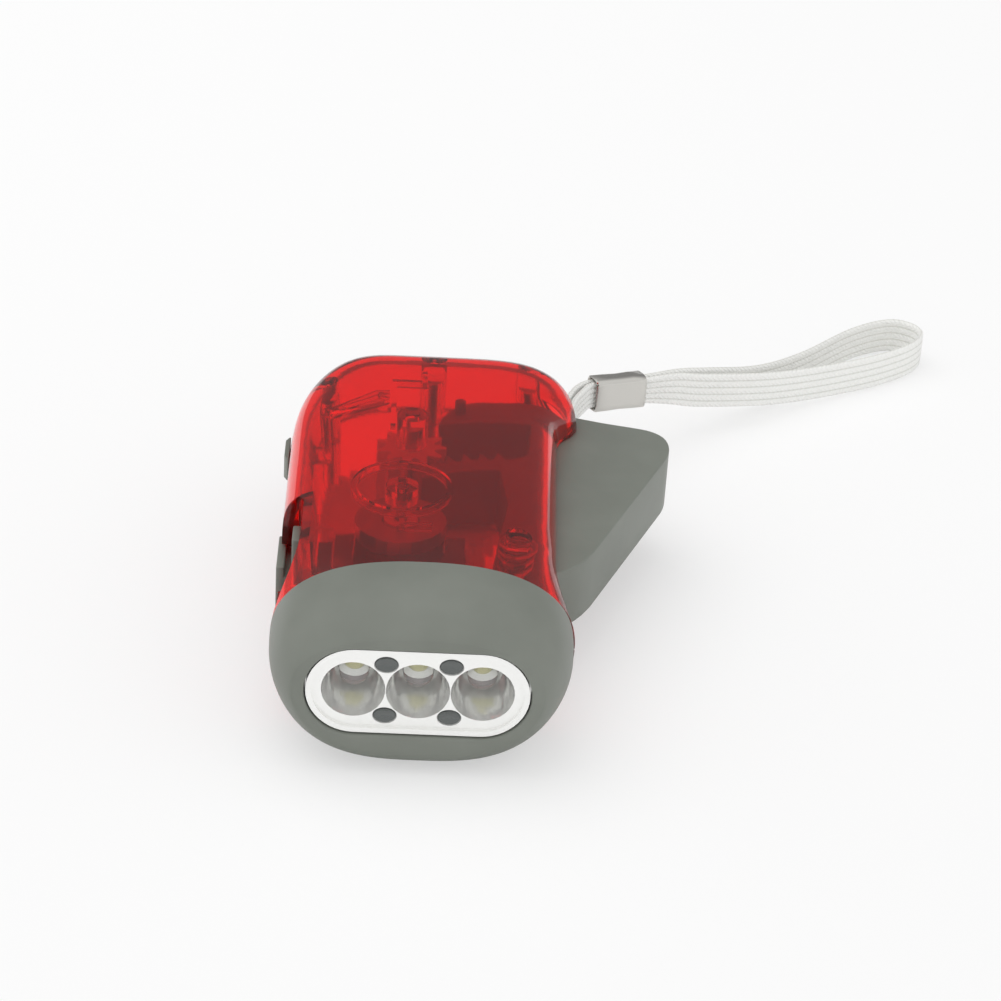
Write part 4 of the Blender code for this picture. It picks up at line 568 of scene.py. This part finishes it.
def makeShell(name, upper):
    low, high = shellSpan(upper)
    wide, wall, half, seam = case["length"], case["wall"], case["halfWidth"], case["seamHeight"]
    body = caseSolid(name, 0, case["around"])
    carve(body, block("half", (-wide, -wide, low), (wide, wide, high)), "INTERSECT")
    hollow = caseSolid("hollow", wall, case["innerAround"])
    for boss in shellBosses(upper):
        carve(hollow, boss)
    carve(body, hollow)
    # the lever's slot, and the strap's way out behind it
    neckX, anchorX, clear = case["rightNeckWidth"] - 2 * wall, inside["anchorEndX"], openings["slotClearance"]
    start, end, leave = openings["slotStart"], openings["slotEnd"], openings["exitBack"]
    slotPlan = along(((neckX, start), (wide, start), (wide, leave), (anchorX, leave), (anchorX, end),
                      (half - 2 * wall, end)))
    carve(body, prism("slot", slotPlan, inside["leverBottom"] - clear, inside["leverTop"] + clear))
    # the light switch's recess on the left, and the hole for its peg
    left, start, end = -half + recess["depth"], recess["start"], recess["end"]
    track = along(((-wide, start), (left, start), (left, end), (-wide, end)))
    carve(body, prism("track", track, recess["bottom"], recess["top"]))
    middle, reach = headY + openings["switchBack"], (openings["pegSize"] + runGap) / 2
    front, rear = middle - openings["switchTravel"] - reach - runGap, middle + reach + runGap
    carve(body, block("pegSlot", (left - wall, front, seam - reach), (left + 2 * wall, rear, seam + reach)))
    if upper:  # the recess opens forwards in a curve, and the lever lock has its own slot
        collar, shoulder = case["headDepth"] + gap, recess["shoulderBack"]
        gate = [(-wide, collar)]
        for i in range(recess["gateSteps"] + 1):
            share = i / recess["gateSteps"]
            deep = (recess["depth"] + wall) * rounded(1 - share, 2)
            gate.append((deep - half - wall, collar + (recess["start"] - collar) * share))
        gate += [(left, shoulder - wall), (left - wall / 2, shoulder), (-wide, shoulder + wall)]
        carve(body, prism("gate", along(gate), recess["top"] - overrun, high))
        neck, tall = openings["lockNeckLength"] / 2 + runGap, openings["lockNeckHeight"] / 2 + runGap
        centre, lift = headY + openings["lockBack"], openings["lockMiddle"]
        carve(body, block("neckSlot", (-wide, centre - openings["lockTravel"] - neck, lift - tall),
                          (-half + 2 * wall, centre + neck, lift + tall)))
        pinEnds = (inside["leverTop"] + 2 * wall, inside["gearBossBottom"] + 2 * wall, case["height"] - wall)
    else:
        pinEnds = (inside["pivotSeatTop"] - 2 * wall, wall, wall)
    for place, radius, pinEnd in zip((pivot, gearPlace, rotor), inside["pinRadii"], pinEnds):
        bottom, top = min(pinEnd, seam), max(pinEnd, seam)
        carve(body, cylinder("pinHole", *place, radius + gap, bottom, top, inside["holeAround"]))
    holes = [("screwHole", inside["screwHole"], inside["screwHoleTop"], inside["postAround"])]
    if not upper:  # room for the head
        holes.append(("headHole", inside["headHole"], inside["headHoleTop"], inside["holeAround"]))
    for place in along(screwPlaces):
        for label, radius, top, count in holes:
            carve(body, cylinder(label, *place, radius, -overrun, top, count))
    return body


topShell = makeShell("upperShell", True)
dress(topShell, redPolystyrene, "case", "top_shell")
bottomShell = makeShell("lowerShell", False)
dress(bottomShell, redPolystyrene, "case", "bottom_shell")
print("case made")

# Head bezel: a skin grown by a rule from a flat rim to the collar, in Geometry Nodes
bezel = {"openingWidth": 0.037, "openingHeight": 0.0165, "rim": 0.0021, "fullness": 2.6, "crease": 1.25,
         "underRoundness": 3.0, "edge": 0.0003, "around": 144, "rows": 48, "innerAround": 96, "endSteps": 24,
         "innerShares": (0.0, 0.16, 0.26, 0.36, 0.46, 0.6, 0.72, 0.86, 1.0)}
headHeight = case["headHalfHeight"]
rimX, rimZ = bezel["openingWidth"] / 2 + bezel["rim"], bezel["openingHeight"] / 2 + bezel["rim"]
skinValues = {
    "halfWidth": case["headHalfWidth"], "halfHeight": headHeight, "rimHalfWidth": rimX, "rimHalfHeight": rimZ,
    "centreX": case["headCentreX"], "depth": case["headDepth"], "fullness": bezel["fullness"],
    "crease": bezel["crease"], "underRoundness": bezel["underRoundness"],
    "squareness": case["headSquareness"], "underAcross": case["underAcross"], "underUp": case["underUp"]}
# The rule, a value at a time from those before it; "between" goes from its second number to its third
skinSteps = (
    ("turn", "ADD", "X", 0.5), ("angle", "MULTIPLY", "turn", math.tau), ("run", "ADD", "Y", 0.5),
    ("share", "POWER", "run", 2.0), ("rest", "SUBTRACT", 1.0, "share"), ("lost", "POWER", "rest", "fullness"),
    ("kept", "SUBTRACT", 1.0, "lost"), ("bend", "DIVIDE", 1.0, "crease"), ("swell", "POWER", "kept", "bend"),
    ("underLost", "POWER", "rest", "underRoundness"), ("underKept", "SUBTRACT", 1.0, "underLost"),
    ("underBend", "DIVIDE", 1.0, "underRoundness"), ("under", "POWER", "underKept", "underBend"),
    ("sine", "SINE", "angle"), ("cosine", "COSINE", "angle"), ("upper", "GREATER_THAN", "sine", 0.0),
    ("squareX", "between", "upper", "underAcross", "squareness"),
    ("powerX", "DIVIDE", 2.0, "squareX"), ("sizeX", "ABSOLUTE", "cosine"), ("signX", "SIGN", "cosine"),
    ("bentX", "POWER", "sizeX", "powerX"), ("waveX", "MULTIPLY", "bentX", "signX"),
    ("reachX", "between", "swell", "rimHalfWidth", "halfWidth"),
    ("sideX", "MULTIPLY", "waveX", "reachX"), ("shift", "MULTIPLY", "swell", "centreX"),
    ("aside", "ADD", "sideX", "shift"), ("grown", "between", "upper", "under", "swell"),
    ("squareZ", "between", "upper", "underUp", "squareness"),
    ("powerZ", "DIVIDE", 2.0, "squareZ"), ("sizeZ", "ABSOLUTE", "sine"), ("signZ", "SIGN", "sine"),
    ("bentZ", "POWER", "sizeZ", "powerZ"), ("waveZ", "MULTIPLY", "bentZ", "signZ"),
    ("reachZ", "between", "grown", "rimHalfHeight", "halfHeight"),
    ("sideZ", "MULTIPLY", "waveZ", "reachZ"), ("lift", "ADD", "sideZ", "halfHeight"),
    ("behind", "MULTIPLY", "share", "depth"), ("back", "ADD", "behind", headY))


def bezelTree():
    tree = bpy.data.node_groups.new("bezelSkin", "GeometryNodeTree")
    sockets = [(name, "Float") for name in skinValues] + [("around", "Int"), ("rows", "Int")]
    for name, kind in sockets + [("material", "Material")]:
        tree.interface.new_socket(name, in_out="INPUT", socket_type="NodeSocket" + kind)
    tree.interface.new_socket("Geometry", in_out="OUTPUT", socket_type="NodeSocketGeometry")
    given = addNode(tree, "NodeGroupInput").outputs
    flow = addNode(tree, "GeometryNodeMeshGrid", None, {
        "Size X": 1.0, "Size Y": 1.0, "Vertices X": given["around"], "Vertices Y": given["rows"]}).outputs[0]
    place = addNode(tree, "GeometryNodeInputPosition")
    split = addNode(tree, "ShaderNodeSeparateXYZ", None, {0: place.outputs[0]}).outputs
    values = {name: given[name] for name in skinValues}
    values.update({"X": split["X"], "Y": split["Y"]})
    for name, operation, *terms in skinSteps:
        kind, settings, sides = "ShaderNodeMath", {"operation": operation}, (0, 1)
        if operation == "between":
            kind, settings, sides = "ShaderNodeMapRange", None, (0, 3, 4)
        inputs = {side: values.get(term, term) for side, term in zip(sides, terms)}
        values[name] = addNode(tree, kind, settings, inputs).outputs[0]
    joined = {"X": values["aside"], "Y": values["back"], "Z": values["lift"]}
    join = addNode(tree, "ShaderNodeCombineXYZ", None, joined).outputs[0]
    for kind, extra in (("SetPosition", {"Position": join}), ("MergeByDistance", {"Distance": 1e-6}),
                        ("RealizeInstances", {}), ("SetMaterial", {"Material": given["material"]})):
        flow = addNode(tree, "GeometryNode" + kind, None, {"Geometry": flow, **extra}).outputs[0]
    addNode(tree, "NodeGroupOutput", None, {"Geometry": flow})
    return tree


def grown(name, tree, values, smoothAngle=35):
    # run a node tree on an empty mesh with its named inputs, and keep the result as a plain mesh
    item = bpy.data.objects.new(name, bpy.data.meshes.new(name))
    bpy.context.collection.objects.link(item)
    step = item.modifiers.new(tree.name, "NODES")
    step.node_group = tree
    sockets = {s.name: s.identifier for s in tree.interface.items_tree if s.in_out == "INPUT"}
    for key, value in values.items():
        step[sockets[key]] = value
    return applied(item, smoothAngle)


def mouthRing(y, more):
    # the outline of the light's opening, so much larger all round
    halfHeight = bezel["openingHeight"] / 2 + more
    straight = bezel["openingWidth"] / 2 + more - halfHeight
    ring = []
    for side in (1, -1):
        for i in range(bezel["endSteps"] + 1):
            angle = math.pi * i / bezel["endSteps"] - math.pi / 2
            ring.append((side * (straight + halfHeight * math.cos(angle)), y,
                         headHeight + side * halfHeight * math.sin(angle)))
    return ring


def mouthPrism(name, more, front, rear):
    return loft(name, [mouthRing(front, more), mouthRing(rear, more)])


skinSettings = {**skinValues, "around": bezel["around"] + 1, "rows": bezel["rows"], "material": greyAbs}
skin = grown("headBezel", bezelTree(), skinSettings)
shape = bmesh.new()
shape.from_mesh(skin.data)
rims = [edge for edge in shape.edges if edge.is_boundary]
bmesh.ops.holes_fill(shape, edges=rims, sides=0)
bmesh.ops.recalc_face_normals(shape, faces=shape.faces)
shape.to_mesh(skin.data)
shape.free()


def bezelRing(share, inset, count):
    # the skin's rule once more, for the hollow inside it
    swell = (1 - (1 - share) ** bezel["fullness"]) ** (1 / bezel["crease"])
    under = rounded(1 - share, bezel["underRoundness"])
    wide = rimX + (case["headHalfWidth"] - rimX) * swell - inset
    head, below = case["headSquareness"], (case["underAcross"], case["underUp"])
    ring = []
    for i in range(count):
        angle = math.tau * i / count
        upper = math.sin(angle) > 0
        squareX, squareZ = (head, head) if upper else below
        tall = rimZ + (headHeight - rimZ) * (swell if upper else under) - inset
        ring.append((case["headCentreX"] * swell + wide * evenPower(math.cos(angle), 2 / squareX),
                     headY + case["headDepth"] * share,
                     headHeight + tall * evenPower(math.sin(angle), 2 / squareZ)))
    return ring


innerRings = [bezelRing(share, case["wall"], bezel["innerAround"]) for share in bezel["innerShares"]]
innerRings[0] = [(x, headY + case["wall"], z) for x, y, z in innerRings[0]]
innerRings[-1] = [(x, y + overrun, z) for x, y, z in innerRings[-1]]
carve(skin, loft("hollow", innerRings))
mouthEdge = bezel["edge"]  # the opening's edge is rounded over
mouthSteps = ((-overrun, 1.0), (0.0, 1.0), (0.15 * mouthEdge, 0.55), (0.45 * mouthEdge, 0.2),
              (mouthEdge, 0.0), (case["wall"] + overrun, 0.0))
carve(skin, loft("mouth", [mouthRing(headY + back, mouthEdge * more) for back, more in mouthSteps]))
dress(skin, greyAbs, "case", "head_bezel")
print("bezel made")

# Reflector: a shallow stadium tray with a bowl for each LED and oval dimples between them
led = {"pitch": 0.0105, "radius": 0.0025, "flangeRadius": 0.0029, "flangeDepth": 0.001, "length": 0.0086,
       "around": 48, "domeDegrees": range(4, 91, 7), "cupBack": 0.003375, "cupRaise": 0.0003,
       "cupAround": 24, "gelAround": 20}
light = {"seat": 0.0005, "depth": 0.0112, "wall": 0.0009, "tray": 0.0006, "bowlRadius": 0.0052,
         "bowlDepth": 0.0080, "bowlRows": 22, "bowlAround": 72, "flange": 0.0007, "flangeFront": 0.0006,
         "flangeRear": 0.0014, "dimpleRise": 0.0049, "dimpleWidth": 0.0019, "dimpleHeight": 0.0015,
         "dimpleAround": 36}
# Dimples: share of the oval's size, and distance behind the tray
dimplePit = ((1.06, -overrun), (1.06, 0.0), (1.0, 0.00015), (0.97, 0.0012))
# The dark lining laid on each dimple's floor is painted shade
dimpleShadeLining = ((0.96, 0.0011), (0.96, 0.0003), (0.9, 0.0004), (0.7, 0.0006), (0.4, 0.0008), (0.05, 0.0009))
# Lead frame and phosphor: radius, and distance behind the cup's rim
leadCup = ((0.0003, 0.0004), (0.0010, 0.0002), (0.0013, 0.0), (0.0015, 0.0), (0.0015, 0.0006),
           (0.0009, 0.0018), (0.0007, 0.0019), (0.0006, 0.004825))
phosphor = ((0.0001, -0.0004), (0.0006, -0.0003), (0.0009, 0.00005), (0.0002, 0.0003))
cupFront = headY + light["seat"]
cupRear = cupFront + light["depth"]
trayY = cupFront + light["tray"]


def turnedPiece(name, x, front, z, profile, count):
    # turned about a line that runs from front to back
    rings = []
    for radius, back in profile:
        rings.append([(x + px, front + back, z + pz) for px, pz in circle(0, 0, radius, count)])
    return loft(name, rings)


def dimplePiece(name, k, side, profile):
    rings = []
    for size, back in profile:
        rings.append([(k * led["pitch"] + px * light["dimpleWidth"], trayY + back,
                       headHeight + side * light["dimpleRise"] + pz * light["dimpleHeight"])
                      for px, pz in circle(0, 0, size, light["dimpleAround"])])
    return loft(name, rings)


cup = mouthPrism("reflectorCup", -gap, cupFront, cupRear)
flangeY = [headY + case["wall"] + light[key] for key in ("flangeFront", "flangeRear")]
carve(cup, mouthPrism("flange", light["flange"], *flangeY), "UNION")
carve(cup, mouthPrism("lip", -gap - light["wall"], cupFront - overrun, trayY))
ledHole = led["radius"] + gap
bowl = []
for i in range(light["bowlRows"] + 1):
    share = i / light["bowlRows"]
    radius = ledHole + (light["bowlRadius"] - ledHole) * math.sqrt(1 - share)
    bowl.append((radius, light["bowlDepth"] * share))
bowl.insert(0, (bowl[0][0], -overrun))
bowl.append((bowl[-1][0], cupRear + overrun - trayY))
for k in (-1, 0, 1):
    carve(cup, turnedPiece("bowl", k * led["pitch"], trayY, headHeight, bowl, light["bowlAround"]))
for k in (-0.5, 0.5):
    for side in (-1, 1):
        carve(cup, dimplePiece("dimple", k, side, dimplePit))
        # each dimple gets a thin dish of painted shade on its floor
        dress(dimplePiece("dimpleShadeFloor", k, side, dimpleShadeLining), paintedDimpleShade, "case")
dress(cup, mirrorCoating, "case", "reflector")

# LEDs: domed clear bodies, with a lead frame, cup and phosphor cast inside
tipY = cupRear + gap + led["flangeDepth"] - led["length"]
cupTop, cupHeight = tipY + led["cupBack"], headHeight + led["cupRaise"]
shoulder = led["length"] - led["flangeDepth"]
domeAngles = [math.radians(a) for a in led["domeDegrees"]]
ledDome = [(led["radius"] * math.sin(a), led["radius"] * (1 - math.cos(a))) for a in domeAngles]
ledDome += [(led["radius"], shoulder), (led["flangeRadius"], shoulder), (led["flangeRadius"], led["length"])]
for k, node in ((-1, "led_left"), (0, "led_centre"), (1, "led_right")):
    x = k * led["pitch"]
    dome = turnedPiece("dome_%s" % node, x, tipY, headHeight, ledDome, led["around"])
    dress(dome, clearEpoxy, "case", node)
    anvil = turnedPiece("leadCup_%s" % node, x, cupTop, cupHeight, leadCup, led["cupAround"])
    dress(anvil, silverPlate, "case")
    glow = turnedPiece("phosphor_%s" % node, x, cupTop, cupHeight, phosphor, led["gelAround"])
    dress(glow, phosphorGel, "case")
print("light made")

# Press lever: one moulding of handle, arm and toothed sector
lever = {"reach": 0.058, "bottom": 0.0104, "thickness": 0.0115, "wall": 0.0018, "hub": 0.0042,
         "bore": 0.00155, "sectorInset": 0.005, "rootTeeth": 5.25, "pegRadius": 0.001, "pegRise": 0.0023,
         "pegAround": 24, "steps": 4, "soft": {"width": 0.00035, "segments": 3, "angle": 60}}
# Places on the lever as shares of its reach, from the pivot
handleShares = ((0.476, 0.695), (0.488, 0.728), (0.497, 0.779), (0.493, 0.826), (0.476, 0.862),
                (0.440, 0.891), (0.391, 0.907), (0.293, 0.931), (0.188, 0.962), (0.064, 0.986),
                (-0.067, 0.997), (-0.143, 0.981), (-0.195, 0.933), (-0.226, 0.872))
frontShares = ((0.160, 0.026), (0.188, 0.055), (0.210, 0.086), (0.236, 0.133))
armShares = ((-0.014, 0.355), (-0.057, 0.080))
hollowShares = ((0.195, 0.150), (0.440, 0.722), (0.458, 0.790), (0.435, 0.850), (0.370, 0.875),
                (0.200, 0.915), (0.115, 0.900), (0.105, 0.560), (0.060, 0.450), (0.060, 0.170))
pegShares = ((-0.164, 0.922),)
# Angles about the pivot, in degrees: the arm and its end, the web behind the teeth, and the hub
armDegrees = (105.5, 102, 99, 96, 93, 90)
armBack = 30
webDegrees = (3.5, 7, 10.5, 14, 17.5, 21)
hubDegrees = range(180, 311, 10)
teeth = {"module": 0.001, "sector": 76, "pinion": 11, "backlash": 0.0003, "rise": 0.9, "fall": 1.15,
         "flankDeg": 20, "numbers": range(-5, 1)}
module = teeth["module"]
sectorLine = math.atan2(gearPlace[1] - pivot[1], gearPlace[0] - pivot[0])
sectorRadius = teeth["sector"] * module / 2


def toothOutline(turn):
    half = (math.pi * module / 2 - teeth["backlash"]) / 2
    low, high = sectorRadius - teeth["fall"] * module, sectorRadius + teeth["rise"] * module
    slope = math.tan(math.radians(teeth["flankDeg"]))
    points = []
    for number in teeth["numbers"]:
        middle = turn + number * math.tau / teeth["sector"]
        for side, radii in ((-1, (low, sectorRadius, high)), (1, (high, sectorRadius, low))):
            for radius in radii:
                angle = middle + side * (half - (radius - sectorRadius) * slope) / radius
                points.append(onCircle(pivot, radius, angle))
    return points


def roundPivot(radius, degrees):
    return [onCircle(pivot, radius, math.radians(a)) for a in degrees]


def reachPoints(shares):
    return [(pivot[0] + lever["reach"] * x, pivot[1] + lever["reach"] * y) for x, y in shares]


line, pitch = math.degrees(sectorLine), 360 / teeth["sector"]
armEnd = line - armBack
pinionTip = (teeth["pinion"] / 2 + teeth["rise"]) * module
armInner = (teeth["sector"] + teeth["pinion"]) * module / 2 + pinionTip + runGap
plan = reachPoints(frontShares)
plan += reachPoints(smoothRoute(handleShares, lever["steps"]))
plan += roundPivot(armInner, [*armDegrees, armEnd])
plan += roundPivot(sectorRadius + module, [armEnd])
plan += roundPivot(sectorRadius - teeth["fall"] * module, [line - lever["rootTeeth"] * pitch])
plan += toothOutline(sectorLine + math.radians(pitch) / 2)
plan += roundPivot(sectorRadius - lever["sectorInset"], [line + pitch] + [line - a for a in webDegrees])
plan += reachPoints(armShares)
plan += roundPivot(lever["hub"], hubDegrees)
leverTop = lever["bottom"] + lever["thickness"]
handle = prism("leverMoulding", plan, lever["bottom"], leverTop)
softenEdges(handle, **lever["soft"])
hollowPlan = reachPoints(hollowShares)
carve(handle, prism("hollow", hollowPlan, lever["bottom"] - overrun, leverTop - lever["wall"]))
carve(handle, cylinder("bore", *pivot, lever["bore"], 0, case["height"]))
pegPlace = reachPoints(pegShares)[0]
pegRoot, pegTop = leverTop - lever["wall"], leverTop + lever["pegRise"]
peg = cylinder("peg", *pegPlace, lever["pegRadius"], pegRoot, pegTop, lever["pegAround"])
carve(handle, peg, "UNION")
dress(handle, greyAbs, "lever", "press_lever")
print("lever made")

# Sliders: their CAD shapes with the moulded edges that they have
sliderEdges = {"width": 0.00025, "segments": 2, "angle": 50}
for node, name, body in (("light_switch_slider", "switchGrip", "switch"),
                         ("lever_lock_slider", "lockGrip", "lock")):
    grip = softenEdges(mergedCopy(node, name), **sliderEdges)
    dress(grip, greyAbs, body, node)
    if body == "lock":  # its arm inside is of the case's clear red, and hardly shows
        grip.data.materials.append(redPolystyrene)
        for face in grip.data.polygons:
            face.material_index = int(face.center.x > case["wall"] - case["halfWidth"])
print("sliders made")

# CAD nodes that keep their shape get their real finish
finishes = (
    (brightSteel, ("lever_pivot_pin", "first_gear_axle", "flywheel", "rotor_axle", "battery_cell_1",
                   "battery_cell_2", "battery_link", "case_screw_1", "case_screw_2", "case_screw_3",
                   "lever_spring")),
    (acetal, ("first_gear", "rotor_pinion")), (ferrite, ("rotor_magnet",)), (coreSteel, ("stator_core",)),
    (blackNylon, ("coil_bobbin", "slide_switch_body", "storage_capacitor", "rectifier")),
    (enamelledCopper, ("coil_winding",)), (boardResist, ("charge_board",)), (whiteResist, ("led_board",)))
for node, material in [(node, material) for material, nodes in finishes for node in nodes]:
    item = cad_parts[node]
    if item.material_slots:
        for slot in item.material_slots:
            slot.material = material
    else:
        item.data.materials.append(material)
print("inner pieces finished")

# Floor and light: pale paper under a wide soft light, whiter to the camera and behind the clear pieces
paper = {"size": 3.0, "drop": 0.0001, "straightShare": 0.5, "throughShare": 0.8}
studioLight = {"lowHeight": 0.2, "topHeight": 0.85, "topShade": 0.35, "strength": 0.88,
               "lampPlace": (-0.35, 0.25, 1.1), "lampSize": 1.2, "lampPower": 4.2}
whitePaper = newMaterial("whitePaper", {"Base Color": "#fbfbfb", "Roughness": 0.9})
tree = whitePaper.node_tree
seen = addNode(tree, "ShaderNodeLightPath").outputs
paperWhite = addNode(tree, "ShaderNodeEmission", None, {"Color": linear("#ffffff"), "Strength": 1.0})
straight = {0: seen["Is Camera Ray"], 1: paper["straightShare"]}
through = {0: seen["Is Transmission Ray"], 1: paper["throughShare"]}
shares = [addNode(tree, "ShaderNodeMath", product, inputs).outputs[0] for inputs in (straight, through)]
paperShare = addNode(tree, "ShaderNodeMath", {"operation": "MAXIMUM"}, {0: shares[0], 1: shares[1]})
paperPlain = tree.nodes["Principled BSDF"].outputs[0]
paperLayers = {0: paperShare.outputs[0], 1: paperPlain, 2: paperWhite.outputs[0]}
paperMix = addNode(tree, "ShaderNodeMixShader", None, paperLayers)
tree.links.new(paperMix.outputs[0], tree.nodes["Material Output"].inputs["Surface"])
floorShape = bmesh.new()
bmesh.ops.create_grid(floorShape, x_segments=1, y_segments=1, size=paper["size"])
floor = newObject("floor", floorShape)
for corner in floor.data.vertices:
    corner.co.z -= paper["drop"]
floor.data.materials.append(whitePaper)

world = bpy.data.worlds.new("studio")
world.use_nodes = True
tree = world.node_tree
skyPlace = addNode(tree, "ShaderNodeTexCoord").outputs["Generated"]
skySplit = addNode(tree, "ShaderNodeSeparateXYZ", None, {0: skyPlace}).outputs
skyShade = addNode(tree, "ShaderNodeValToRGB", None, {"Fac": skySplit["Y"]})
stops, topShade = skyShade.color_ramp.elements, studioLight["topShade"]
stops[0].position, stops[1].position = studioLight["lowHeight"], studioLight["topHeight"]
stops[0].color, stops[1].color = (1, 1, 1, 1), (topShade, topShade, topShade, 1)
tree.links.new(skyShade.outputs["Color"], tree.nodes["Background"].inputs["Color"])
tree.nodes["Background"].inputs["Strength"].default_value = studioLight["strength"]
bpy.context.scene.world = world
lampData = bpy.data.lights.new("softbox", "AREA")
lampData.shape, lampData.energy = "RECTANGLE", studioLight["lampPower"]
lampData.size, lampData.size_y = studioLight["lampSize"], studioLight["lampSize"]
lamp = bpy.data.objects.new("softbox", lampData)
lamp.location = studioLight["lampPlace"]
lamp.rotation_euler = (Vector((0, 0, 0)) - Vector(lamp.location)).to_track_quat("-Z", "Y").to_euler()
lamp.visible_glossy = False  # its square outline would stand in every glossy face
bpy.context.collection.objects.link(lamp)
bpy.context.scene.view_settings.view_transform = "Standard"

print("scene done")
